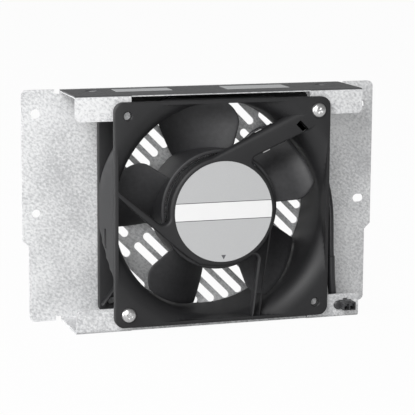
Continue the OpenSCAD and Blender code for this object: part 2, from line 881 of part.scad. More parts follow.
module stator_core() {
    shoe_in = stator_r - shoe_t;
    color([0.5, 0.5, 0.52])
    slab(stack_front, stack_rear)
        difference() {
            union() {
                circle(tube_r + yoke_t);
                for (k = [0:poles - 1])
                    rotate(360 * k / poles) {
                        translate([0, -pole_w / 2])
                            square([shoe_in + shoe_t / 2, pole_w]);
                        sector_2d(shoe_in, stator_r, -shoe_half_angle, shoe_half_angle);
                    }
            }
            circle(tube_r);
            for (k = [0:poles - 1])
                rotate(360 * k / poles)
                    sector_2d(stator_r - band_depth, stator_r + cut, band_start_angle,
                              band_start_angle + band_angle);
        }
}

module pole_box(margin, in_r, out_r) {
    for (k = [0:poles - 1])
        rotate([0, 360 * k / poles, 0])
            translate([in_r, fan_y + stack_front - margin, -pole_w / 2 - margin])
                cube([out_r - in_r, stack_h + 2 * margin, pole_w + 2 * margin]);
}

module stator_insulator() {
    color([0.85, 0.83, 0.75])
    union() {
        difference() {
            union() {
                pole_box(insulator_t, tube_r + yoke_t, coil_out_r);
                ring(tube_r, tube_r + yoke_t + insulator_t, stack_front - insulator_t, stack_rear + insulator_t);
            }
            slab(stack_front, stack_rear)
                circle(tube_r + yoke_t);
            slab(stack_front - insulator_t - cut, stack_rear + insulator_t + cut)
                circle(tube_r);
            pole_box(0, 0, stator_r);
        }
        for (k = [0:poles - 1])
            rotate([0, 45 + 360 * k / poles, 0])
                translate([post_place_r, fan_y + stack_front - insulator_t / 2, 0])
                    rotate([90, 0, 0])
                        cylinder(r = post_r, h = stack_front - insulator_t / 2 - board_front - board_t);
    }
}

module stator_coils() {
    color([0.72, 0.4, 0.18])
    difference() {
        pole_box(insulator_t + coil_t, coil_in_r, coil_out_r);
        pole_box(insulator_t, coil_in_r - cut, coil_out_r + cut);
    }
}

module shading_rings() {
    color([0.8, 0.45, 0.22])
    for (k = [0:poles - 1])
        rotate([0, 360 * k / poles, 0])
            difference() {
                slab(stack_front - band_t, stack_rear + band_t)
                    sector_2d(stator_r - band_depth, stator_r, band_start_angle,
                              shoe_half_angle + band_angle);
                slab(stack_front, stack_rear)
                    sector_2d(stator_r - band_depth - cut, stator_r + cut, band_start_angle + band_angle,
                              shoe_half_angle);
            }
}

module thermal_protector() {
    color([0.15, 0.15, 0.16])
    rotate([0, 45, 0])
        translate([protector_place_r, fan_y + board_front + board_t + protector_h, 0])
            rotate([90, 0, 0])
                cylinder(r = protector_r, h = protector_h);
}

module terminal_board() {
    color([0.2, 0.42, 0.28])
    difference() {
        ring(board_in_r, board_out_r, board_front, board_front + board_t);
        slab(board_front - cut, board_front + board_t + cut)
            for (a = board_hole_angles)
                rotate(a)
                    translate([(board_in_r + board_out_r) / 2, 0])
                        circle(post_r);
    }
}

// Smooth points along a route, with a few steps between each two of its points
function bend_point(p, i, t) =
    let (n = len(p) - 1, a = p[max(0, i - 1)], b = p[i], c = p[i + 1], d = p[min(n, i + 2)])
    0.5 * (2 * b + (c - a) * t + (2 * a - 5 * b + 4 * c - d) * t * t + (3 * b - a - 3 * c + d) * t * t * t);
function smooth(p, steps) = concat(
    [for (i = [0:len(p) - 2]) for (j = [0:steps - 1]) bend_point(p, i, j / steps)], [p[len(p) - 1]]);
function unit(v) = v / norm(v);

// A round wire along a route
module wire(route, d, up, steps = 3, sides = 8) {
    path = smooth(route, steps);
    n = len(path);
    points = [for (i = [0:n - 1])
        let (t = unit(path[min(n - 1, i + 1)] - path[max(0, i - 1)]), u = unit(cross(t, up)), v = cross(t, u))
        for (k = [0:sides - 1])
            path[i] + d / 2 * (u * cos(360 * k / sides) + v * sin(360 * k / sides))];
    walls = [for (i = [0:n - 2]) for (k = [0:sides - 1])
        let (a = i * sides + k, b = i * sides + (k + 1) % sides)
        for (f = quad(a, b, b + sides, a + sides)) f];
    ends = concat(
        [for (k = [1:sides - 2]) [0, k + 1, k]],
        [for (k = [1:sides - 2]) [(n - 1) * sides, (n - 1) * sides + k, (n - 1) * sides + k + 1]]);
    translate([0, fan_y, 0])
        polyhedron(points = points, faces = concat(walls, ends), convexity = 6);
}

module motor_leads() {
    color([0.12, 0.12, 0.13]) {
        wire(wire_a_route, wire_d, [0, 1, 0], 2);
        wire(wire_b_route, wire_d, [0, 1, 0], 2);
    }
}

module lead_grommet() {
    color([0.1, 0.1, 0.1])
    intersection() {
        difference() {
            lead_port(port_rear, 0);
            translate([0, -cut, 0])
                lead_port(grommet_slot_rear + cut, port_half_w - grommet_slot_half);
        }
        ring(grommet_in_r, grommet_out_r, flange_t, port_rear);
    }
}

module supply_lead() {
    color([0.1, 0.1, 0.11]) wire(lead_route, lead_d, [0, 1, 0], 3);
}

module lead_sleeve() {
    color([0.14, 0.14, 0.15]) wire(sleeve_route, sleeve_d, [0, 1, 0], 2, 10);
}

module connector_wires() {
    color([0.1, 0.1, 0.11]) {
        wire(tail_a_route, wire_d - tail_fall, [-1, 0, 1], 2);
        wire(tail_b_route, wire_d - tail_fall, [-1, 0, 1], 2);
    }
}

module wire_clip() {
    t = 0.5;
    w = 4;
    place = 33;
    low = cup_r * strut_in_hub_shares[0];
    high = cup_r * (strut_out_hub_shares[0] + strut_out_rim_shares[0]) / 2;
    color([0.55, 0.56, 0.58])
    rotate([0, -strut_angles[0], 0])
        difference() {
            translate([place, fan_y + strut_front + strut_d / 2, low - 2 * t])
                cube([w, strut_d / 2 + wire_d + 3 * t / 2, high - low + 4 * t]);
            translate([place - cut, fan_y + strut_front, low - t])
                cube([w + 2 * cut, strut_d + wire_d + t / 2, high - low + 2 * t]);
        }
}

module connector_housing() {
    color([0.16, 0.16, 0.17])
    union() {
        difference() {
            slab(flange_t - plug_out, plug_rear)
                translate([plug_x, plug_z])
                    square([plug_w, plug_h], center = true);
            for (side = [-1, 1])
                slab(flange_t - plug_out - cut, plug_rear + cut)
                    translate([plug_x + side * (plug_w - plug_wall) / 4, plug_z])
                        square([(plug_w - 3 * plug_wall) / 2, plug_h - 2 * plug_wall], center = true);
        }
        slab(flange_t - ear_t, flange_t)
            difference() {
                translate([ear_x, plug_z - edge_r / 2])
                    circle(ear_r);
                translate([plug_x - plug_w / 2 + plug_wall / 2, plug_z - ear_r - cut])
                    square([2 * ear_r, 2 * ear_r + 2 * cut]);
            }
    }
}

module connector_contacts() {
    color([0.8, 0.68, 0.35])
    for (side = [-1, 1])
        slab(contact_front, plug_rear)
            translate([plug_x + side * (plug_w - plug_wall) / 4, plug_z])
                square([(plug_w - 3 * plug_wall) / 2, contact_size], center = true);
}

module fan_screws() {
    color([0.82, 0.82, 0.8])
    for (s = [-1, 1])
        translate([s * hole_half, fan_y, s * hole_half])
            rotate([-90, 0, 0])
                difference() {
                    union() {
                        rotate_extrude()
                            difference() {
                                translate([0, -screw_head_h])
                                    square([screw_head_d / 2, screw_head_h]);
                                difference() {
                                    translate([screw_head_d / 2 - screw_head_h / 2, -screw_head_h - cut])
                                        square([screw_head_h / 2 + cut, screw_head_h / 2 + cut]);
                                    translate([screw_head_d / 2 - screw_head_h / 2, -screw_head_h / 2])
                                        circle(screw_head_h / 2);
                                }
                            }
                        cylinder(d = screw_d, h = screw_len);
                    }
                    for (a = [0, 90])
                        rotate(a + cross_angle)
                            translate([0, 0, -screw_head_h])
                                cube([screw_head_d / 2, screw_head_h / 3, screw_head_h], center = true);
                }
}

module clinch_nuts() {
    tab_rear = flange_t + sheet_t;
    color([0.7, 0.7, 0.7])
    for (s = [-1, 1])
        translate([s * hole_half, fan_y, s * hole_half])
            rotate([-90, 0, 0])
                rotate_extrude() {
                    translate([screw_d / 2, flange_t])
                        square([nut_spigot_t, sheet_t + nut_h]);
                    translate([screw_d / 2, tab_rear])
                        square([(nut_d - screw_d) / 2, nut_h]);
                }
}

module sticker(box) {
    color([0.78, 0.79, 0.8])
    translate([box[0], fan_y + box[2], bracket_top])
        cube([box[1] - box[0], box[3] - box[2], sticker_t]);
}

module left_sticker() { sticker(left_sticker_box); }
module right_sticker() { sticker(right_sticker_box); }

bracket();
fan_frame();
fan_hub();
fan_barrel();
rear_flange();
hub_label();
impeller();
rotor_cup();
rotor_laminations();
rotor_cage();
shaft_bush();
shaft();
front_bearing_outer_ring();
front_bearing_inner_ring();
front_bearing_balls();
front_bearing_cage();
rear_bearing_outer_ring();
rear_bearing_inner_ring();
rear_bearing_balls();
rear_bearing_cage();
preload_spring();
retaining_clip();
shim_washer();
stator_core();
stator_insulator();
stator_coils();
shading_rings();
thermal_protector();
terminal_board();
motor_leads();
lead_grommet();
supply_lead();
lead_sleeve();
wire_clip();
connector_housing();
connector_contacts();
connector_wires();
fan_screws();
clinch_nuts();
left_sticker();
right_sticker();
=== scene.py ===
"""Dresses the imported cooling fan: its moulded, cast and folded pieces, their finishes, light and camera."""
import logging
import math
from contextlib import contextmanager
from dataclasses import dataclass, field
from enum import Enum
from typing import Callable, Iterable, Iterator, Optional, Union

import bpy
from mathutils import Matrix, Vector


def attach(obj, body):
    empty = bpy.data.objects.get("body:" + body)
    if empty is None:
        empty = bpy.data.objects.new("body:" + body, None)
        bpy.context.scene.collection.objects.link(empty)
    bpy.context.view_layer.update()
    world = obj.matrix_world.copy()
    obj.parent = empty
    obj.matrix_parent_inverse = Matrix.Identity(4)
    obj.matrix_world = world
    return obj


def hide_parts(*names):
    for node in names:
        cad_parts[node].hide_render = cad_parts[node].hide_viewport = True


log = logging.getLogger("cooling_fan")
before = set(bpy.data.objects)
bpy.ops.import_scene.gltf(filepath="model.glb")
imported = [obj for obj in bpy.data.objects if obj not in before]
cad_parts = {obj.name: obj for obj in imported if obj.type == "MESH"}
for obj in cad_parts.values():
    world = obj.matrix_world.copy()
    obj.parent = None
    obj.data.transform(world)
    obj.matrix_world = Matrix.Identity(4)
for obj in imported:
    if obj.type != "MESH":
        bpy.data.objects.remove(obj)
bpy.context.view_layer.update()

MM = 0.001
# Depth of the fan's front face in mm, the distance in m at which points merge, and the length in mm over
# which a strut's edges go from their places at the hub to those at the mouth.
FRONT = -40.4
MERGE = 0.00002
STRUT_RUN = 68.4
Colour = tuple[float, float, float]
Value = Union[float, "Socket"]
Pair = tuple[float, float]
Triple = tuple[float, float, float]
Reach = Callable[[float], Pair]
Piece = bpy.types.Object


class Body(Enum):
    """The bodies that pieces ride on."""

    HOUSING = "housing"
    ROTOR = "rotor"


class Socket:
    """A shader output whose arithmetic adds nodes to its own tree."""

    def __init__(self, tree: "Finish", out: bpy.types.NodeSocket) -> None:
        """Keeps the output and the finish it belongs to."""
        self.tree = tree
        self.out = out

    def maths(self, operation: str, *values: Value) -> "Socket":
        """Adds a Math node that works on the given values, in order."""
        return self.tree.node("ShaderNodeMath", {"operation": operation}, dict(enumerate(values)))

    def __add__(self, other: Value) -> "Socket":
        """Adds a value."""
        return self.maths("ADD", self, other)

    __radd__ = __add__

    def __sub__(self, other: Value) -> "Socket":
        """Takes a value away."""
        return self.maths("SUBTRACT", self, other)

    def __rsub__(self, other: Value) -> "Socket":
        """Takes this away from a value."""
        return self.maths("SUBTRACT", other, self)

    def __mul__(self, other: Value) -> "Socket":
        """Multiplies by a value."""
        return self.maths("MULTIPLY", self, other)

    __rmul__ = __mul__

    def __truediv__(self, other: Value) -> "Socket":
        """Divides by a value."""
        return self.maths("DIVIDE", self, other)

    def __abs__(self) -> "Socket":
        """The size without the sign."""
        return self.maths("ABSOLUTE", self)

    def below(self, edge: float, soft: float) -> "Socket":
        """A mask that is 1 below an edge and fades to 0 over a soft width.

        Args:
            edge: the value at the middle of the fade.
            soft: the width of the fade.

        Returns:
            The mask, between 0 and 1.
        """
        ramp = (edge + soft / 2 - self) / soft
        return self.tree.node("ShaderNodeClamp", {}, {0: ramp})


@dataclass
class Finish:
    """A procedural material on one shader, built by expressions.

    Attributes:
        name: the material's name.
        colour: base colour, linear.
        roughness: base roughness.
        metallic: how metallic it is.
        coat: weight of a clear coat.
        shine: level of the plain reflection.
    """

    name: str
    colour: Colour
    roughness: float = 0.5
    metallic: float = 0.0
    coat: float = 0.0
    shine: float = 0.5
    material: bpy.types.Material = field(init=False)
    shader: bpy.types.Node = field(init=False)

    def __post_init__(self) -> None:
        """Makes the material and its shader."""
        self.material = bpy.data.materials.new(self.name)
        self.material.use_nodes = True
        self.shader = self.material.node_tree.nodes["Principled BSDF"]
        self.shader.inputs["Base Color"].default_value = (*self.colour, 1)
        self.shader.inputs["Roughness"].default_value = self.roughness
        self.shader.inputs["Metallic"].default_value = self.metallic
        self.shader.inputs["Coat Weight"].default_value = self.coat
        self.shader.inputs["Specular IOR Level"].default_value = self.shine

    def node(self, kind: str, settings: dict, inputs: dict, output: Union[int, str] = 0) -> Socket:
        """Adds a node.

        Args:
            kind: the node's type.
            settings: properties, set first.
            inputs: values or sockets, by the input's name or number.
            output: which output to return.

        Returns:
            The chosen output, wrapped.
        """
        made = self.material.node_tree.nodes.new(kind)
        for key, value in settings.items():
            setattr(made, key, value)
        for key, value in inputs.items():
            self.feed(made.inputs[key], value)
        return Socket(self, made.outputs[output])

    def feed(self, slot: bpy.types.NodeSocket, value: Union[Value, tuple[float, ...]]) -> None:
        """Links an output to an input, or sets the input's own value."""
        if isinstance(value, Socket):
            self.material.node_tree.links.new(value.out, slot)
        else:
            slot.default_value = value

    def place(self) -> Socket:
        """Object coordinates, in metres."""
        return self.node("ShaderNodeTexCoord", {}, {}, "Object")

    def axes(self) -> tuple[Socket, Socket, Socket]:
        """The three object coordinates, in millimetres."""
        made = self.material.node_tree.nodes.new("ShaderNodeSeparateXYZ")
        self.feed(made.inputs[0], self.place())
        x, y, z = (Socket(self, made.outputs[i]) * (1 / MM) for i in range(3))
        return x, y, z

    def noise(self, size_mm: float, detail: float = 3.0, stretch: Colour = (1, 1, 1), turn: float = 0) -> Socket:
        """Noise between 0 and 1 with features of about the given size.

        Args:
            size_mm: size of the features.
            detail: octaves of detail.
            stretch: scale along each axis.
            turn: turn about Y in degrees.

        Returns:
            The noise's value.
        """
        level = {"Vector": self.place(), "Rotation": (0, math.radians(turn), 0)}
        place = self.node("ShaderNodeMapping", {}, {"Vector": self.node("ShaderNodeMapping", {}, level),
                                                    "Scale": stretch})
        inputs = {"Vector": place, "Scale": 1 / (size_mm * MM), "Detail": detail}
        return self.node("ShaderNodeTexNoise", {}, inputs, "Fac")

    def cells(self, size_mm: float, output: str = "Color") -> Socket:
        """Random cells of about the given size."""
        inputs = {"Vector": self.place(), "Scale": 1 / (size_mm * MM)}
        return self.node("ShaderNodeTexVoronoi", {}, inputs, output)

    def blend(self, mask: Value, low: Union[Colour, Socket], high: Union[Colour, Socket]) -> Socket:
        """Mixes two colours by a mask."""
        made = self.material.node_tree.nodes.new("ShaderNodeMix")
        made.data_type = "RGBA"
        self.feed(made.inputs[0], mask)
        for slot, value in ((6, low), (7, high)):
            self.feed(made.inputs[slot], value if isinstance(value, Socket) else (*value, 1))
        return Socket(self, made.outputs[2])

    def paint(self, colour: Optional[Socket] = None, roughness: Optional[Socket] = None,
              metallic: Optional[Socket] = None) -> None:
        """Links what varies over the surface to the shader."""
        for name, value in (("Base Color", colour), ("Roughness", roughness), ("Metallic", metallic)):
            if value is not None:
                self.feed(self.shader.inputs[name], value)

    def emboss(self, height: Socket, depth_mm: float) -> None:
        """Bumps the surface by a height field of the given depth."""
        inputs = {"Height": height, "Distance": depth_mm * MM, "Strength": 1.0}
        self.feed(self.shader.inputs["Normal"], self.node("ShaderNodeBump", {}, inputs, "Normal"))


class Workshop:
    """Every finish on the fan, made once."""

    def __init__(self) -> None:
        """Makes the finishes."""
        self.sheet = self.galvanised()
        self.casting = self.coated_casting()
        self.moulding = self.moulded("black_moulding", (0.013, 0.013, 0.014), 0.52, 0.9, 2.2, 2.6)
        self.plug = self.moulded("connector_plastic", (0.032, 0.032, 0.034), 0.4, 0.3)
        self.sheath = self.moulded("wire_sheath", (0.016, 0.016, 0.018), 0.38, 0.6)
        self.rubber = self.moulded("grommet_rubber", (0.02, 0.02, 0.02), 0.7, 0.4)
        self.protector = self.moulded("protector_plastic", (0.06, 0.06, 0.07), 0.5, 0.4)
        self.nylon = self.moulded("insulator_plastic", (0.72, 0.68, 0.56), 0.45, 0.3)
        self.label = self.foil_label()
        self.sticker = self.blank_sticker()
        self.zinc = self.metal("zinc_steel", (0.76, 0.76, 0.76), 0.3, 0.7)
        self.steel = self.metal("bright_steel", (0.62, 0.62, 0.64), 0.25, 0.4)
        self.bearing = self.metal("bearing_steel", (0.72, 0.72, 0.74), 0.12, 0.3)
        self.spring = self.metal("spring_steel", (0.42, 0.43, 0.45), 0.32, 0.5)
        self.brass = self.metal("brass", (0.68, 0.5, 0.2), 0.28, 0.4)
        self.aluminium = self.metal("cast_aluminium", (0.62, 0.63, 0.65), 0.42, 1.2)
        self.copper = self.winding()
        self.stack = self.laminated()
        self.board = self.circuit_board()

    def galvanised(self) -> Finish:
        """Hot-dipped sheet with fine grey spangle on a pale ground; the top flange's face is painted dark grey as
        a painted reflection of dark surroundings.
        """
        f = Finish("galvanised_sheet", (0.7, 0.71, 0.72), 0.42, 0.3)
        _, y, z = f.axes()
        flakes = f.node("ShaderNodeSeparateColor", {}, {0: f.cells(1.3)}, 0)
        specks = f.noise(1.2, 4.0, (0.7, 1, 1), -35)
        fine = f.noise(0.5, 2.0)
        drift = f.noise(30, 2.0)
        dark = (specks - 0.5) * 3.0 + (fine - 0.5) * 1.1 + (flakes - 0.5) * 0.2 + (drift - 0.5) * 1.7 + 0.42
        mask = f.node("ShaderNodeClamp", {}, {0: dark})
        pale = f.blend(mask, (0.77, 0.775, 0.78), (0.46, 0.465, 0.475))
        # Painted reflection: the top flange's upper face, between the fan's front and rear, is painted dark grey
        # in place of the dark surroundings it mirrors.
        painted_dark_reflection = (1 - z.below(62.35, 0.15)) * y.below(-1.4, 0.1) * (1 - y.below(-38.2, 0.3))
        f.paint(f.blend(painted_dark_reflection, pale, (0.085, 0.086, 0.09)), flakes * 0.14 + 0.36)
        f.emboss(specks, 0.015)
        return f

    def coated_casting(self) -> Finish:
        """Satin black paint over a fine cast surface."""
        f = Finish("black_casting", (0.011, 0.011, 0.012), 0.5, shine=0.38)
        grain = f.noise(0.5, 3.0)
        cloud = f.noise(18, 3.0)
        f.paint(f.blend(cloud, (0.011, 0.011, 0.012), (0.017, 0.017, 0.018)), grain * 0.14 + 0.44)
        f.emboss(grain, 0.012)
        return f

    def moulded(self, name: str, colour: Colour, roughness: float, grain_mm: float, cloud_mm: float = 12,
                lift: float = 1.35) -> Finish:
        """Moulded plastic or rubber with a faint grain and uneven gloss.

        Args:
            name: the material's name.
            colour: its darkest colour.
            roughness: its roughness.
            grain_mm: size of the grain.
            cloud_mm: size of the paler clouds.
            lift: how many times brighter the clouds are.

        Returns:
            The finish.
        """
        f = Finish(name, colour, roughness)
        grain = f.noise(grain_mm, 2.0)
        cloud = f.noise(cloud_mm, 3.0)
        light = tuple(min(1.0, c * lift) for c in colour)
        f.paint(f.blend(cloud, colour, light), grain * 0.1 + (roughness - 0.05))
        f.emboss(grain, 0.006)
        return f

    def metal(self, name: str, colour: Colour, roughness: float, grain_mm: float) -> Finish:
        """Bare or plated metal with fine marks."""
        f = Finish(name, colour, roughness, 1.0)
        grain = f.noise(grain_mm, 4.0)
        dark = tuple(c * 0.72 for c in colour)
        f.paint(f.blend(grain, dark, colour), grain * 0.2 + (roughness - 0.1))
        f.emboss(grain, 0.004)
        return f

    def foil_label(self) -> Finish:
        """Silver foil with a white band, thin rules and a small plain triangle."""
        f = Finish("label_film", (0.6, 0.61, 0.62), 0.34, 0.35)
        x, _, z = f.axes()
        rule_w = 0.34
        band = abs(z - 0.5).below(4.6, 0.12)
        rules = abs(abs(z - 0.5) - 4.75).below(rule_w / 2, 0.12)
        mark = (abs(x) - (z + 25.7) * 0.55).below(0, 0.2) * z.below(-23.3, 0.15)
        brush = f.noise(0.6, 3.0, (1, 1, 12))
        foil = f.blend(brush, (0.46, 0.465, 0.47), (0.62, 0.625, 0.63))
        printed = f.blend(band, foil, (0.75, 0.75, 0.75))
        inked = f.blend(rules, printed, (0.05, 0.05, 0.055))
        f.paint(f.blend(mark, inked, (0.12, 0.12, 0.13)), band * 0.12 + 0.3, 0.4 - band * 0.4)
        return f

    def blank_sticker(self) -> Finish:
        """Blank silver film."""
        f = Finish("sticker_film", (0.6, 0.61, 0.62), 0.3, 0.3)
        brush = f.noise(0.8, 2.0, (10, 1, 1))
        f.paint(f.blend(brush, (0.55, 0.56, 0.57), (0.68, 0.69, 0.7)), brush * 0.1 + 0.26)
        return f

    def winding(self) -> Finish:
        """Enamelled copper wire laid side by side."""
        f = Finish("copper", (0.6, 0.26, 0.09), 0.3, 0.9)
        _, y, _ = f.axes()
        turns = f.node("ShaderNodeMath", {"operation": "PINGPONG"}, {0: y * 4, 1: 1.0})
        f.paint(f.blend(turns, (0.32, 0.12, 0.04), (0.66, 0.3, 0.1)))
        f.emboss(turns, 0.05)
        return f

    def laminated(self) -> Finish:
        """A stack of thin steel sheets."""
        f = Finish("lamination_steel", (0.34, 0.34, 0.36), 0.4, 0.9)
        _, y, _ = f.axes()
        sheets = f.node("ShaderNodeMath", {"operation": "PINGPONG"}, {0: y * 2, 1: 0.5})
        f.paint(f.blend(sheets, (0.18, 0.18, 0.2), (0.42, 0.42, 0.44)))
        f.emboss(sheets, 0.04)
        return f

    def circuit_board(self) -> Finish:
        """Green lacquered board with the weave showing faintly."""
        f = Finish("board_green", (0.04, 0.16, 0.07), 0.3, 0.0, 0.4)
        weave = f.noise(0.9, 1.0, (1, 1, 3))
        f.paint(f.blend(weave, (0.03, 0.13, 0.055), (0.05, 0.2, 0.09)))
        return f


def deselect() -> None:
    """Clears the selection before an operator acts."""
    for item in bpy.context.selected_objects:
        item.select_set(False)


def take(piece: Piece) -> None:
    """Makes a piece the only selected one and the active one."""
    deselect()
    piece.select_set(True)
    bpy.context.view_layer.objects.active = piece


@contextmanager
def edit_all() -> Iterator[None]:
    """Edit mode with the whole of the active piece selected."""
    bpy.ops.object.mode_set(mode="EDIT")
    bpy.ops.mesh.select_all(action="SELECT")
    yield
    bpy.ops.object.mode_set(mode="OBJECT")


def settle(piece: Piece, finish: Finish, body: Body, slot: str, *replaced: str) -> None:
    """Gives a finished piece its material and body.

    Args:
        piece: the piece, with its place in its mesh.
        finish: its finish.
        body: the body it rides on.
        slot: the record's material slot; not used.
        replaced: CAD nodes it stands for.
    """
    piece.data.materials.clear()
    piece.data.materials.append(finish.material)
    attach(piece, body.value)
    if replaced:
        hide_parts(*replaced)
    log.info("%s: %d faces", piece.name, len(piece.data.polygons))


def wrapped_grid(name: str, columns: int, rows: int, place: Callable[[int, int], Vector]) -> Piece:
    """Starts from a grid primitive and lays its points along a surface that may close on itself.

    Args:
        name: the piece's name.
        columns: faces round the surface.
        rows: faces along the surface.
        place: gives the place of a point from its column and row, in millimetres.

    Returns:
        The piece, with doubled points merged and normals outwards.
    """
    deselect()
    bpy.ops.mesh.primitive_grid_add(x_subdivisions=columns, y_subdivisions=rows, size=2)
    piece = bpy.context.object
    piece.name = name
    for vertex in piece.data.vertices:
        column = round((vertex.co.x + 1) / 2 * columns)
        row = round((vertex.co.y + 1) / 2 * rows)
        vertex.co = place(column, row) * MM
    piece.location = (0, 0, 0)
    with edit_all():
        bpy.ops.mesh.remove_doubles(threshold=MERGE)
        bpy.ops.mesh.dissolve_degenerate(threshold=MERGE / 2)
        bpy.ops.mesh.normals_make_consistent(inside=False)
    return piece


def smooth(piece: Piece, degrees: float = 35.0) -> None:
    """Smooths the shading across edges flatter than an angle."""
    take(piece)
    bpy.ops.object.shade_smooth_by_angle(angle=math.radians(degrees))


def apply(piece: Piece, kind: str, **settings: object) -> None:
    """Adds one modifier and applies it at once."""
    take(piece)
    modifier = piece.modifiers.new(kind.title(), kind)
    for key, value in settings.items():
        setattr(modifier, key, value)
    bpy.ops.object.modifier_apply(modifier=modifier.name)


def lathe(name: str, profile: list[Pair], columns: int = 160, place: Vector = Vector()) -> Piece:
    """Turns a closed profile of radius and depth about an axis along Y.

    Args:
        name: the piece's name.
        profile: radius and depth points, in order, in millimetres.
        columns: faces round the axis.
        place: the axis's place.

    Returns:
        The turned piece.
    """
    def at(column: int, row: int) -> Vector:
        """A point of the turned skin."""
        radius, depth = profile[row]
        angle = 2 * math.pi * (column % columns) / columns
        return Vector((radius * math.cos(angle), depth, radius * math.sin(angle))) + place

    return wrapped_grid(name, columns, len(profile) - 1, at)


def arc(centre: Pair, radius: float, start: float, end: float, steps: int = 6) -> list[Pair]:
    """Points of an arc in degrees, in the profile's plane."""
    angles = [math.radians(start + (end - start) * i / steps) for i in range(steps + 1)]
    return [(centre[0] + radius * math.cos(a), centre[1] + radius * math.sin(a)) for a in angles]


def tube(name: str, route: Iterable[Triple], diameter: float) -> Piece:
    """A round wire along a smooth route, capped at its ends.

    Args:
        name: the piece's name.
        route: points in mm, depths counted from the fan's front face.
        diameter: its diameter in mm.

    Returns:
        The wire as a mesh.
    """
    points = list(route)
    curve = bpy.data.curves.new(name, "CURVE")
    curve.dimensions = "3D"
    curve.bevel_depth = diameter / 2 * MM
    curve.bevel_resolution = 6
    curve.use_fill_caps = True
    spline = curve.splines.new("BEZIER")
    spline.bezier_points.add(len(points) - 1)
    for knot, (x, y, z) in zip(spline.bezier_points, points):
        knot.co = Vector((x, y + FRONT, z)) * MM
        knot.handle_left_type = knot.handle_right_type = "AUTO"
    curve.resolution_u = 8
    holder = bpy.data.objects.new(name, curve)
    bpy.context.collection.objects.link(holder)
    take(holder)
    bpy.ops.object.convert(target="MESH")
    piece = bpy.context.object
    with edit_all():
        bpy.ops.mesh.remove_doubles(threshold=MERGE)
        bpy.ops.mesh.normals_make_consistent(inside=False)
    smooth(piece, 50)
    return piece


def block(name: str, place: Vector, size: Vector, turn: float = 0) -> Piece:
    """Starts from a cube primitive and makes it a box.

    Args:
        name: the box's name.
        place: its middle in millimetres.
        size: its sizes in millimetres.
        turn: its turn about the fan's axis in degrees.

    Returns:
        The box, with its place in its mesh.
    """
    deselect()
    bpy.ops.mesh.primitive_cube_add(size=1, location=place * MM, rotation=(0, math.radians(turn), 0),
                                    scale=size * MM)
    box = bpy.context.object
    box.name = name
    bpy.ops.object.transform_apply(location=True, rotation=True, scale=True)
    return box


def cap_holes(piece: Piece) -> None:
    """Closes a piece's open ends and turns its faces outwards."""
    take(piece)
    with edit_all():
        bpy.ops.mesh.fill_holes(sides=0)
        bpy.ops.mesh.normals_make_consistent(inside=False)


def cut_away(piece: Piece, cutter: Piece) -> None:
    """Cuts one piece with another and removes the cutter."""
    apply(piece, "BOOLEAN", operation="DIFFERENCE", object=cutter, solver="EXACT")
    bpy.data.objects.remove(cutter, do_unlink=True)


@dataclass(frozen=True)
class Strut:
    """One strut of the frame, its edges given as shares of the hub's radius.

    Attributes:
        angle: its direction in degrees.
        hub: inner and outer edge at the hub.
        rim: inner and outer edge at the mouth.
        rounding: radius of its front edges near the hub.
        rim_round: radius of its outer front edge at the mouth.
        fillet_in: fillet between the hub and its inner edge.
        fillet_out: fillet between the hub and its outer edge, none where the edge passes outside the hub.
    """

    angle: float
    hub: Pair
    rim: Pair
    rounding: float
    rim_round: float
    fillet_in: float
    fillet_out: Optional[float]

    def level(self, side: int, radius: float) -> Callable[[float], float]:
        """The distance of an edge from the strut's own axis, by how far out it is."""
        low, high = self.hub[side] * radius, self.rim[side] * radius
        return lambda along: low + (high - low) * along / STRUT_RUN

    def fillet_middle(self, radius: float) -> Pair:
        """The middle of its inner fillet, along the strut and across it."""
        along = 20.0
        low = 0.0
        for _ in range(4):
            low = self.level(0, radius)(along) - self.fillet_in
            along = math.sqrt(max(0.0, (radius + self.fillet_in) ** 2 - low ** 2))
        return along, low

    def hub_arrival(self, radius: float) -> float:
        """The angle from the strut's direction at which its inner fillet leaves the hub."""
        along, low = self.fillet_middle(radius)
        return math.atan2(low, along)

    def blend_start(self, radius: float) -> float:
        """How far out the outer edge leaves its straight run for the hub."""
        if self.fillet_out is None:
            return 12.0
        along = 10.0
        for _ in range(6):
            high = self.level(1, radius)(along) + self.fillet_out
            along = math.sqrt(max(0.0, (radius + self.fillet_out) ** 2 - high ** 2))
        return along

    def blend(self, radius: float, rounding: float) -> list[Triple]:
        """Points from the outer edge to the hub: a concave fillet, or a long easing curve."""
        along = self.blend_start(radius)
        edge = self.level(1, radius)(along)
        if self.fillet_out is None:
            shares = ((4.0, 1.045), (-3.0, 1.033), (-9.0, 1.0), (-14.0, 0.893), (-18.0, 0.8))
            places = [(u, max(v * radius, math.sqrt(max(0.0, radius * radius - u * u)))) for u, v in shares]
            return [(u, v, rounding) for u, v in places]
        middle = (along, edge + self.fillet_out)
        begin, end = -math.pi / 2, math.atan2(-middle[1], -middle[0])
        if end > 0:
            end -= 2 * math.pi
        turns = [begin + (end - begin) * i / 8 for i in range(1, 9)]
        return [(middle[0] + self.fillet_out * math.cos(a), middle[1] + self.fillet_out * math.sin(a), rounding)
                for a in turns]


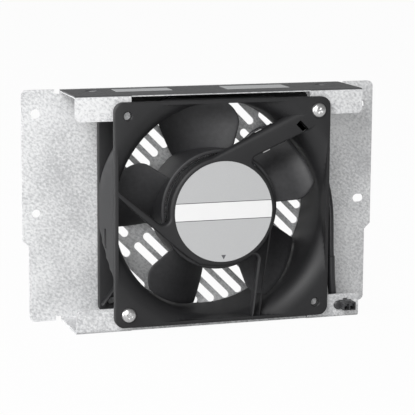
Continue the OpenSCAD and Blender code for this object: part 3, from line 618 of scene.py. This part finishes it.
@dataclass
class FanFrame:
    """The cast frame: flanges, mouth, barrel, struts and the fixed hub, sizes in millimetres."""

    shop: Workshop
    depth: float = 38.0
    half: float = 59.5
    corner_r: float = 5.0
    flange_t: float = 4.2
    throat_r: float = 57.4
    flare_r: float = 11.0
    wall_t: float = 1.8
    barrel_front_r: float = 69.7
    barrel_rear_r: float = 59.4
    edge_r: float = 0.5
    hole_half: float = 52.4
    hole_r: float = 2.25
    hub_r: float = 29.6
    hub_front: float = 0.4
    hub_depth: float = 6.1
    hub_wall: float = 2.6
    skirt_t: float = 1.8
    tube_r: float = 8.5
    tube_back: float = 28.4
    bearing_r: float = 6.5
    seat_front: float = 9.0
    seat_back: float = 22.0
    lip_r: float = 5.5
    label_r: float = 27.2
    hub_round: float = 1.7
    rim_round: float = 0.8
    strut_back: float = 4.6
    rim_rise: float = 0.385
    rise_from: float = 44.0
    rise_over: float = 12.0
    columns: int = 480
    struts: tuple[Strut, ...] = (
        Strut(24.3, (0.65, 0.97), (0.63, 1.04), 1.7, 4.0, 3.0, 6.0),
        Strut(138.0, (0.885, 1.05), (0.985, 1.05), 1.3, 0.8, 3.6, None),
        Strut(263.3, (0.76, 0.965), (0.77, 0.925), 1.4, 1.2, 2.4, 5.0),
    )

    def outline(self, angle: float, half: float, corner: float) -> float:
        """Distance from the axis to a rounded square's edge at an angle."""
        c, s = abs(math.cos(angle)), abs(math.sin(angle))
        reach = half / max(c, s)
        inner = half - corner
        if corner <= 0 or reach * min(c, s) <= inner:
            return reach
        along = inner * (c + s)
        return along + math.sqrt(max(0.0, along * along - 2 * inner * inner + corner * corner))

    def shell(self) -> Piece:
        """The flanges, mouth and barrel as one closed skin."""
        e = self.edge_r
        flat = self.half - self.wall_t
        steps = 12

        def ring(kind: str, depth: float, inset: float = 0.0) -> Reach:
            """One ring of the skin, by its kind of outline, its depth and how far it is drawn in."""
            def reach(angle: float) -> Pair:
                """Radius and depth of the ring at an angle."""
                square = 1 / max(abs(math.cos(angle)), abs(math.sin(angle)))
                if kind == "bore":
                    return self.throat_r + inset, depth
                if kind == "flare":
                    sweep = self.throat_r + self.flare_r - math.sqrt(
                        max(0.0, self.flare_r ** 2 - (self.flare_r - depth) ** 2))
                    return min(sweep, flat * square), depth
                if kind == "edge":
                    return self.outline(angle, self.half - inset, self.corner_r - inset), depth
                taper = (self.barrel_rear_r - self.barrel_front_r) / self.depth
                return min(self.barrel_front_r + taper * depth, (self.half - inset) * square), depth
            return reach

        def corner(base: float, inwards: int) -> list[Reach]:
            """A flange edge rounded from its face to its rim, or the other way."""
            turns = [math.radians(a) for a in (90, 60, 30, 0)][::inwards]
            sign = 1 if base in (0.0, self.depth - self.flange_t) else -1
            return [ring("edge", base + sign * e * (1 - math.sin(a)), e * (1 - math.cos(a))) for a in turns]

        rings = [ring("bore", self.depth - e), ring("bore", self.flare_r + 8)]
        rings += [ring("flare", self.flare_r * (1 - math.sin(math.pi / 2 * i / steps))) for i in range(steps + 1)]
        barrel_start, barrel_end = self.flange_t, self.depth - self.flange_t
        rings += corner(0.0, 1) + corner(barrel_start, -1)
        rings += [ring("barrel", depth, 0.02) for depth in
                  (barrel_start, barrel_start + 8, (barrel_start + barrel_end) / 2, barrel_end - 6, barrel_end)]
        rings += corner(barrel_end, 1) + corner(self.depth, -1)
        rings += [ring("bore", self.depth, e), ring("bore", self.depth - e)]

        def at(column: int, row: int) -> Vector:
            """A point of the skin, by its place round the axis and its ring."""
            angle = 2 * math.pi * ((column % self.columns) + 0.5) / self.columns
            radius, depth = rings[row](angle)
            return Vector((radius * math.cos(angle), FRONT + depth, radius * math.sin(angle)))

        piece = wrapped_grid("frame_shell", self.columns, len(rings) - 1, at)
        for sx in (-1, 1):
            for sz in (-1, 1):
                self.drill(piece, sx * self.hole_half, sz * self.hole_half)
        self.pocket(piece)
        self.port(piece)
        for side in (-1, 1):
            self.eye(piece, side)
        smooth(piece, 30)
        return piece

    def drill(self, piece: Piece, x: float, z: float) -> None:
        """Drills one mounting hole through both flanges, with a broken edge at the front."""
        e = 0.35
        profile = [(0, -1), (self.hole_r + e + 1, -1), (self.hole_r, e), (self.hole_r, self.depth + 1),
                   (0, self.depth + 1)]
        cutter = lathe("drill", profile, 32, Vector((x, FRONT, z)))
        cut_away(piece, cutter)

    def box_cut(self, piece: Piece, place: Vector, size: Vector, turn: float, round_mm: float) -> None:
        """Cuts a box with rounded edges out of a piece.

        Args:
            piece: what is cut.
            place: the box's middle in millimetres.
            size: its sizes in millimetres.
            turn: its turn about the fan's axis in degrees.
            round_mm: radius of its edges.
        """
        cutter = block("cutter", place, size, turn)
        apply(cutter, "BEVEL", width=round_mm * MM, segments=4)
        cut_away(piece, cutter)

    def port(self, piece: Piece) -> None:
        """Opens the way through the barrel's wall for the leads, at the end of the wide strut."""
        angle = self.struts[0].angle
        turn = math.radians(angle)
        u, v = Vector((math.cos(turn), 0, math.sin(turn))), Vector((-math.sin(turn), 0, math.cos(turn)))
        place = u * 66 + v * 23.98 + Vector((0, FRONT + 8.2, 0))
        self.box_cut(piece, place, Vector((28, 7.2, 8)), -angle, 0.3)

    def eye(self, piece: Piece, side: int) -> None:
        """Sinks the long eye in one flat side of the barrel."""
        place = Vector((side * self.half, FRONT + 20.5, -15))
        self.box_cut(piece, place, Vector((3.2, 4, 11)), 0, 1.5)

    def pocket(self, piece: Piece) -> None:
        """Sinks the small slanted pocket in the corner above the wide strut."""
        self.box_cut(piece, Vector((43.7, FRONT, 43.7)), Vector((7.1, 7.6, 3.3)), 45, 0.35)

    def cup(self) -> Piece:
        """The hub's skirt, front wall and bearing tube, behind its face."""
        f, r = self.hub_front, self.hub_r - 0.04
        back = f + self.hub_depth
        profile = [(self.bearing_r, f + 0.3), (r - 2.6, f + 0.3), (r - 1.2, f + 1.4), (r, f + 3)]
        profile += [(r, back - 0.4), (r - 0.4, back), (r - self.skirt_t + 0.3, back)]
        profile += [(r - self.skirt_t, back - 0.3), (r - self.skirt_t, f + self.hub_wall)]
        profile += [(self.tube_r, f + self.hub_wall), (self.tube_r, self.tube_back)]
        profile += [(self.bearing_r, self.tube_back), (self.bearing_r, self.seat_back)]
        profile += [(self.lip_r, self.seat_back), (self.lip_r, self.seat_front)]
        profile += [(self.bearing_r, self.seat_front), (self.bearing_r, f + 0.3)]
        piece = lathe("frame_cup", profile, 192, Vector((0, FRONT, 0)))
        smooth(piece, 35)
        return piece

    def strut_reach(self, turn: float, level: float) -> float:
        """How far a strut's edge runs until it is inside the flange or its flat wall."""
        u, v = (math.cos(turn), math.sin(turn)), (-math.sin(turn), math.cos(turn))
        along = 40.0
        while along < 78:
            x, z = along * u[0] + level * v[0], along * u[1] + level * v[1]
            if max(abs(x), abs(z)) > self.half - 0.9 or math.hypot(x, z) > self.throat_r + self.flare_r + 6.4:
                break
            along += 0.1
        return along

    def spider_outline(self) -> list[Triple]:
        """The outline of the hub's face with its struts: X, Z and the rounding of the front edge there."""
        points: list[Triple] = []
        r = self.hub_r
        for index, strut in enumerate(self.struts):
            turn = math.radians(strut.angle)
            edge = [strut.level(side, r) for side in (0, 1)]
            side_points: list[Triple] = []
            radius, inner_round = strut.fillet_in, strut.rounding
            along, low = strut.fillet_middle(r)
            begin, end = math.atan2(low, along) + math.pi, math.pi / 2
            for i in range(9):
                share = i / 8
                a = begin + (end - begin) * i / 8
                side_points.append((along + radius * math.cos(a), low + radius * math.sin(a),
                                    self.hub_round * (1 - share) + inner_round * share))
            tip = self.strut_reach(turn, edge[0](60))
            for i in range(1, 13):
                u = along + (tip - along) * i / 12
                side_points.append((u, edge[0](u), inner_round + (self.rim_round - inner_round) * i / 12))
            far = self.strut_reach(turn, edge[1](60))
            last = strut.blend_start(r)
            for i in range(13):
                u = far + (last - far) * i / 12
                side_points.append((u, edge[1](u), strut.rim_round + (inner_round - strut.rim_round) * i / 12))
            side_points += strut.blend(r, self.hub_round)
            cos_t, sin_t = math.cos(turn), math.sin(turn)
            turned = [(u * cos_t - v * sin_t, u * sin_t + v * cos_t, e) for u, v, e in side_points]
            points += turned
            following = self.struts[(index + 1) % len(self.struts)]
            leave = math.atan2(turned[-1][1], turned[-1][0])
            arrive = math.radians(following.angle) + following.hub_arrival(r)
            while arrive < leave:
                arrive += 2 * math.pi
            count = max(2, round((arrive - leave) * r / 0.9))
            points += [(r * math.cos(leave + (arrive - leave) * i / count),
                        r * math.sin(leave + (arrive - leave) * i / count), self.hub_round)
                       for i in range(1, count)]
        return points

    def spider(self) -> Piece:
        """The hub's face and the three struts in one form, with the label's recess.

        Not mended: the bottom strut's front face and part of the hub's rim come out open.
        """
        points = self.spider_outline()
        count = len(points)
        normals = []
        for i in range(count):
            before, after = points[i - 1], points[(i + 1) % count]
            run = Vector((after[0] - before[0], after[1] - before[1]))
            normals.append(Vector((-run.y, run.x)).normalized())
        turns = [math.radians(a) for a in (90, 72, 54, 36, 18, 0)]
        front, back = self.hub_front, self.strut_back

        def at(column: int, row: int) -> Vector:
            """A point of the rounded edge or of the side behind it."""
            x, z, rounding = points[column % count]
            inwards = normals[column % count]
            if row < len(turns):
                draw, depth = rounding * (1 - math.cos(turns[row])), rounding * (1 - math.sin(turns[row]))
                depth -= self.rim_rise * min(1.0, max(0.0, (math.hypot(x, z) - self.rise_from) / self.rise_over))
            else:
                draw, depth = 0.0, back - front
            return Vector((x + inwards.x * draw, FRONT + front + depth, z + inwards.y * draw))

        piece = wrapped_grid("frame_spider", count, len(turns), at)
        cap_holes(piece)
        take(piece)
        with edit_all():
            bpy.ops.mesh.quads_convert_to_tris(quad_method="BEAUTY", ngon_method="BEAUTY")
        recess = lathe("recess", [(0, -1), (self.label_r, -1), (self.label_r, 0.6), (0, 0.6), (0, -1)], 160,
                       Vector((0, FRONT, 0)))
        cut_away(piece, recess)
        self.pocket(piece)
        smooth(piece, 40)
        return piece

    def rib(self) -> Piece:
        """The slanted rib between barrel and rear flange in the lower left corner."""
        piece = block("frame_rib", Vector((-54.9, FRONT + 31.4, -48.9)), Vector((12.4, 4.6, 1.1)), -54)
        apply(piece, "BEVEL", width=0.3 * MM, segments=3)
        smooth(piece, 40)
        return piece

    def build(self) -> None:
        """Builds and dresses the frame."""
        for make, replaced in (
            (self.shell, ("fan_frame", "fan_barrel", "rear_flange")), (self.cup, ("fan_hub",)),
            (self.spider, ("fan_frame", "fan_hub")), (self.rib, ("rear_flange",)),
        ):
            settle(make(), self.shop.casting, Body.HOUSING, "black_casting", *replaced)


@dataclass
class Impeller:
    """The moulded impeller: a hub with a rounded rear edge and five twisted blades."""

    shop: Workshop
    hub_r: float = 32.4
    hub_front: float = 8.0
    hub_rear: float = 35.6
    wall: float = 2.0
    end_t: float = 2.4
    bush_r: float = 5.0
    tip_r: float = 56.5
    blades: int = 5
    blade_front: float = 12.0
    blade_rear: float = 34.0
    thick: float = 1.9
    edge: float = 0.9
    camber: float = 0.5
    lead_angle: float = 75.0
    corner_cut: float = 9.0
    trail_angle: float = 126.0
    narrowing: float = 6.2

    def hub(self) -> Piece:
        """The hub, open towards the fixed hub and closed behind."""
        r, rear = self.hub_r, self.hub_rear
        profile = [(r - self.wall, self.hub_front + 0.3), (r - self.wall + 0.3, self.hub_front)]
        profile += arc((r - 0.8, self.hub_front + 0.8), 0.8, -90, 0, 4)
        profile += arc((r - 3, rear - 3), 3, 0, 90, 8)
        profile += [(self.bush_r, rear), (self.bush_r, rear - self.end_t), (r - self.wall, rear - self.end_t)]
        profile += [(r - self.wall, self.hub_front + 0.3)]
        piece = lathe("impeller_hub", profile, 192, Vector((0, FRONT, 0)))
        smooth(piece, 35)
        return piece

    def blade_place(self, radius: float, share: float, side: float) -> Vector:
        """A point of the first blade by radius, share of its chord and side of its middle surface."""
        corner = max(0.0, radius - 0.8 * self.tip_r) / (0.2 * self.tip_r)
        first = self.lead_angle + self.corner_cut * corner ** 2
        root = self.hub_r - self.wall / 2
        last = self.trail_angle - self.narrowing * (radius - root) / (self.tip_r - root)
        angle = math.radians(first + (last - first) * share)
        depth = self.blade_front + (self.blade_rear - self.blade_front) * (
            share - self.camber * share * (1 - share))
        return Vector((radius * math.cos(angle), FRONT + depth + side, radius * math.sin(angle)))

    def blade(self, number: int) -> Piece:
        """One blade with a rounded edge all round."""
        around, rows = 44, 20
        root = self.hub_r - self.wall / 2
        turn = Matrix.Rotation(-math.radians(360 * number / self.blades), 4, "Y")

        def at(column: int, row: int) -> Vector:
            """A point round the blade's section at one of its radii."""
            angle = 2 * math.pi * (column % around) / around
            tip_share = row / rows
            radius = root + (self.tip_r - root) * tip_share
            share = 0.5 - 0.5 * math.cos(angle)
            share = 0.5 + 0.5 * math.copysign(abs(2 * share - 1) ** 0.9, 2 * share - 1)
            half = (self.edge + (self.thick - self.edge) * 4 * share * (1 - share)) / 2
            closing = math.sqrt(max(0.0, 1 - max(0.0, (tip_share - 0.985) / 0.015) ** 2))
            lift = math.copysign(min(1.0, abs(math.sin(angle)) * 3), math.sin(angle)) * half * closing
            return turn @ self.blade_place(radius, share, lift)

        piece = wrapped_grid(f"impeller_blade_{number + 1}", around, rows, at)
        cap_holes(piece)
        smooth(piece, 50)
        return piece

    def build(self) -> None:
        """Builds and dresses the impeller."""
        for piece in [self.hub()] + [self.blade(number) for number in range(self.blades)]:
            settle(piece, self.shop.moulding, Body.ROTOR, "black_moulding", "impeller")


@dataclass
class Fasteners:
    """The two fan screws: domed pan heads with a cross recess."""

    shop: Workshop
    place: float = 52.4
    head_r: float = 3.9
    head_h: float = 2.6
    shank_r: float = 2.0
    length: float = 9.0
    cross_w: float = 0.95
    cross_deep: float = 2.4
    cross_len: float = 3.5
    cross_turn: float = 20.0

    def screw(self, name: str, side: int) -> Piece:
        """One screw with its head's dome, cross and shank."""
        r, h = self.head_r, self.head_h
        profile = [(0, -h), (1.6, -h + 0.08), (2.5, -h + 0.3), (3.1, -h + 0.62), (3.55, -h + 1.05)]
        profile += [(r - 0.05, -h + 1.6), (r, -h + 2.0), (r - 0.02, -0.25), (r - 0.25, 0), (self.shank_r, 0)]
        profile += [(self.shank_r, self.length - 0.5), (self.shank_r - 0.5, self.length)]
        profile += [(0, self.length), (0, -h)]
        place = Vector((side * self.place, FRONT, side * self.place))
        piece = lathe(name, profile, 64, place)
        for turn in (self.cross_turn, self.cross_turn + 90):
            slot = Vector((self.cross_len, self.cross_deep, self.cross_w))
            cut_away(piece, block("cross", place + Vector((0, -h, 0)), slot, turn))
        smooth(piece, 30)
        return piece

    def build(self) -> None:
        """Builds and dresses both screws."""
        for name, side in (("screw_upper_right", 1), ("screw_lower_left", -1)):
            settle(self.screw(name, side), self.shop.zinc, Body.HOUSING, "zinc_steel", "fan_screws")


@dataclass
class Plug:
    """The supply connector's moulding, with broken edges, a latch rib and its round ear."""

    shop: Workshop
    x: float = 71.5
    z: float = -55.4
    wide: float = 7.2
    high: float = 4.4
    nose: float = -2.8
    tail: float = 11.0
    wall: float = 0.55
    ear_r: float = 2.4
    ear_x: float = 67.2

    def build(self) -> None:
        """Builds and dresses the moulding."""
        place = Vector((self.x, FRONT + (self.nose + self.tail) / 2, self.z))
        piece = block("connector_body", place, Vector((self.wide, self.tail - self.nose, self.high)))
        apply(piece, "BEVEL", width=0.35 * MM, segments=3)
        for side in (-1, 1):
            half = (self.wide - 3 * self.wall) / 2
            hole = Vector((self.x + side * (self.wide - self.wall) / 4, FRONT + 4, self.z))
            cut_away(piece, block("way", hole, Vector((half, 20, self.high - 2 * self.wall))))
        ear = [(0, 2.7), (1.5, 2.7), (self.ear_r - 0.35, 2.8), (self.ear_r, 3.15), (self.ear_r, 4.2), (0, 4.2),
               (0, 2.7)]
        disc = lathe("connector_ear", ear, 48, Vector((self.ear_x, FRONT, self.z - 0.3)))
        latch = block("connector_latch", Vector((self.x, FRONT + 0.9, self.z + 2.3)), Vector((2.4, 5.4, 0.9)))
        apply(latch, "BEVEL", width=0.3 * MM, segments=3)
        for part in (piece, disc, latch):
            smooth(part, 40)
            settle(part, self.shop.plug, Body.HOUSING, "connector_plastic", "connector_housing")


@dataclass
class Wiring:
    """The supply lead, its sleeve and the single wires, along the same points as their solids."""

    shop: Workshop

    def build(self) -> None:
        """Builds and dresses every wire."""
        wire_a = [(4, 5.6, 15), (3.6, 5.6, 20), (5, 5.6, 25), (9.5, 5.6, 29), (20, 5.6, 33.8),
                  (30, 5.6, 38.3), (40, 5.8, 42.8), (44, 7, 44.6), (47.2, 9, 45.9)]
        wire_b = [(1, 5.6, 15), (0.4, 5.6, 21), (2.6, 5.6, 27.6), (7.6, 5.6, 32.8), (13.5, 5.7, 37.6),
                  (19.2, 5.8, 41.9), (25.5, 5.8, 43.6), (32.5, 5.8, 44.9), (39, 5.8, 46), (43, 7, 47.1),
                  (46.4, 9, 48)]
        lead = [(47, 9.1, 47), (49, 10, 47.6), (52, 12, 47.2), (55.8, 14.4, 44.8), (59.4, 16.6, 41),
                (61.6, 18, 35.5), (62, 18.4, 29), (62.2, 18.4, 23), (63, 17.2, 15), (64.2, 14, 5.5),
                (64.6, 11.6, -3), (64.5, 10, -14), (64.4, 9.2, -24), (64.5, 9, -29)]
        sleeve = [(64.5, 9, -29.2), (64.6, 8.8, -34), (64.9, 8.6, -42), (65.5, 8.8, -47.5), (65.8, 9, -50),
                  (65.8, 9, -51.6)]
        tail_a = [(64.9, 9, -51.8), (64.9, 9.4, -53.4), (65.2, 10.9, -55), (66.4, 12.8, -56),
                  (68.2, 14, -56.2), (69.5, 13.3, -55.7), (69.7, 11.2, -55.4)]
        tail_b = [(66.7, 9, -51.8), (66.7, 9.6, -53.2), (66.9, 11.4, -54), (68.4, 13.4, -54),
                  (70.6, 14.6, -54.1), (72.3, 14.4, -54.8), (73.2, 13.2, -55.3), (73.3, 11.2, -55.4)]
        for name, route, diameter, node in (
            ("motor_wire_a", wire_a, 1.9, "motor_leads"), ("motor_wire_b", wire_b, 1.9, "motor_leads"),
            ("supply_lead_run", lead, 3.6, "supply_lead"), ("lead_sleeve_run", sleeve, 4.5, "lead_sleeve"),
            ("connector_wire_a", tail_a, 1.6, "connector_wires"),
            ("connector_wire_b", tail_b, 1.6, "connector_wires"),
        ):
            piece = tube(name, route, diameter)
            settle(piece, self.shop.sheath, Body.HOUSING, "wire_sheath", node)


@dataclass
class PlainNodes:
    """The CAD nodes whose shape is right: they keep it and get their finish."""

    shop: Workshop

    def build(self) -> None:
        """Assigns a finish to each carried-over node."""
        shop = self.shop
        dressed = (
            (shop.sheet, "bracket"),
            (shop.casting, "fan_frame", "fan_hub", "fan_barrel", "rear_flange"),
            (shop.label, "hub_label"),
            (shop.sticker, "left_sticker", "right_sticker"),
            (shop.moulding, "impeller"),
            (shop.steel, "rotor_cup", "shaft", "shim_washer"),
            (shop.stack, "rotor_laminations", "stator_core"),
            (shop.aluminium, "rotor_cage"),
            (shop.brass, "shaft_bush", "front_bearing_cage", "rear_bearing_cage"),
            (shop.bearing, "front_bearing_outer_ring", "front_bearing_inner_ring", "front_bearing_balls"),
            (shop.bearing, "rear_bearing_outer_ring", "rear_bearing_inner_ring", "rear_bearing_balls"),
            (shop.spring, "preload_spring", "retaining_clip", "connector_contacts"),
            (shop.nylon, "stator_insulator"),
            (shop.copper, "stator_coils", "shading_rings"),
            (shop.protector, "thermal_protector"),
            (shop.board, "terminal_board"),
            (shop.sheath, "motor_leads", "supply_lead", "lead_sleeve", "connector_wires"),
            (shop.rubber, "lead_grommet"),
            (shop.zinc, "wire_clip", "fan_screws", "clinch_nuts"),
            (shop.plug, "connector_housing"),
        )
        for finish, *names in dressed:
            for name in names:
                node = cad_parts[name]
                node.data.materials.clear()
                node.data.materials.append(finish.material)
                log.info("%s: %s", name, finish.name)


def mix_shaders(tree: bpy.types.NodeTree, factor: bpy.types.NodeSocket, low: bpy.types.Node,
                high: bpy.types.Node, output: str) -> None:
    """Mixes two shaders by a factor into a tree's output."""
    mix = tree.nodes.new("ShaderNodeMixShader")
    for slot, out in enumerate((factor, low.outputs[0], high.outputs[0])):
        tree.links.new(out, mix.inputs[slot])
    tree.links.new(mix.outputs[0], tree.nodes[output].inputs["Surface"])


@dataclass
class Studio:
    """Floor, world, lamps and the camera."""

    floor_z: float = -62.4
    shown: float = 0.965
    mirrored: float = 0.3
    focal_px: float = 1780.0
    picture_px: float = 415.0
    yaw: float = 17.85
    pitch: float = 10.06
    roll: float = 0.33
    distance: float = 937.0
    aim: Triple = (-9.3, FRONT, 2.8)

    def floor(self) -> None:
        """A plain pale floor that shows white and keeps the object's shadow."""
        deselect()
        bpy.ops.mesh.primitive_plane_add(size=16, location=(0, 0, self.floor_z * MM - 0.00002))
        plane = bpy.context.object
        plane.name = "floor"
        f = Finish("floor_white", (0.55, 0.55, 0.55), 0.9)
        tree = f.material.node_tree
        path = tree.nodes.new("ShaderNodeLightPath")
        glow = tree.nodes.new("ShaderNodeEmission")
        seen = Socket(f, path.outputs["Is Camera Ray"]) * self.shown
        seen = seen + Socket(f, path.outputs["Is Glossy Ray"]) * self.mirrored
        seen = seen + Socket(f, path.outputs["Is Transmission Ray"]) * self.shown
        mix_shaders(tree, seen.out, f.shader, glow, "Material Output")
        plane.data.materials.append(f.material)

    def world(self, ambient: float) -> None:
        """A white surround, dimmer for the light that it casts."""
        world = bpy.data.worlds.new("studio")
        bpy.context.scene.world = world
        world.use_nodes = True
        tree = world.node_tree
        path = tree.nodes.new("ShaderNodeLightPath")
        shown = tree.nodes["Background"]
        dim = tree.nodes.new("ShaderNodeBackground")
        for node, strength in ((shown, 1.0), (dim, ambient)):
            node.inputs[0].default_value = (1, 1, 1, 1)
            node.inputs[1].default_value = strength
        mix_shaders(tree, path.outputs["Is Camera Ray"], dim, shown, "World Output")

    def lamp(self, name: str, place: Colour, size: float, power: float) -> None:
        """One soft square lamp aimed at the fan."""
        data = bpy.data.lights.new(name, "AREA")
        data.shape = "SQUARE"
        data.size = size
        data.energy = power
        lamp = bpy.data.objects.new(name, data)
        lamp.location = place
        lamp.rotation_mode = "QUATERNION"
        lamp.rotation_quaternion = (Vector((0, -0.02, 0)) - Vector(place)).to_track_quat("-Z", "Y")
        bpy.context.collection.objects.link(lamp)

    def camera(self) -> None:
        """The photograph's view, with no lens shift."""
        yaw, pitch, roll = (math.radians(a) for a in (self.yaw, self.pitch, self.roll))
        forward = Vector((math.sin(yaw) * math.cos(pitch), math.cos(yaw) * math.cos(pitch), -math.sin(pitch)))
        right = Vector((math.cos(yaw), -math.sin(yaw), 0))
        up = right.cross(forward)
        turned_right = right * math.cos(roll) + up * math.sin(roll)
        turned_up = up * math.cos(roll) - right * math.sin(roll)
        data = bpy.data.cameras.new("camera")
        data.sensor_fit = "HORIZONTAL"
        data.sensor_width = 36
        data.lens = self.focal_px / self.picture_px * data.sensor_width
        data.clip_start, data.clip_end = 0.05, 20
        camera = bpy.data.objects.new("camera", data)
        place = (Vector(self.aim) - forward * self.distance) * MM
        turn = Matrix((turned_right, turned_up, -forward)).transposed()
        camera.matrix_world = Matrix.Translation(place) @ turn.to_4x4()
        bpy.context.collection.objects.link(camera)
        bpy.context.scene.camera = camera

    def build(self) -> None:
        """Sets up the studio."""
        bpy.context.scene.view_settings.view_transform = "Standard"
        self.floor()
        self.world(0.28)
        self.lamp("key_left", (-0.82, -1.1, 0.86), 0.7, 20)
        self.lamp("side_left", (-1.3, -0.1, 0.2), 0.7, 12)
        self.lamp("fill_front", (-0.45, -1.7, 0.25), 0.9, 9)
        self.lamp("back_soft", (-1.2, 1.3, 0.9), 1.2, 12)
        self.camera()


def main() -> None:
    """Builds every piece in order and reports it."""
    logging.basicConfig(level=logging.INFO, format="%(name)s %(message)s")
    studio = Studio()
    studio.build()
    shop = Workshop()
    PlainNodes(shop).build()
    FanFrame(shop).build()
    Impeller(shop).build()
    Fasteners(shop).build()
    Plug(shop).build()
    Wiring(shop).build()
    bpy.context.view_layer.update()


if __name__ == "__main__":
    main()
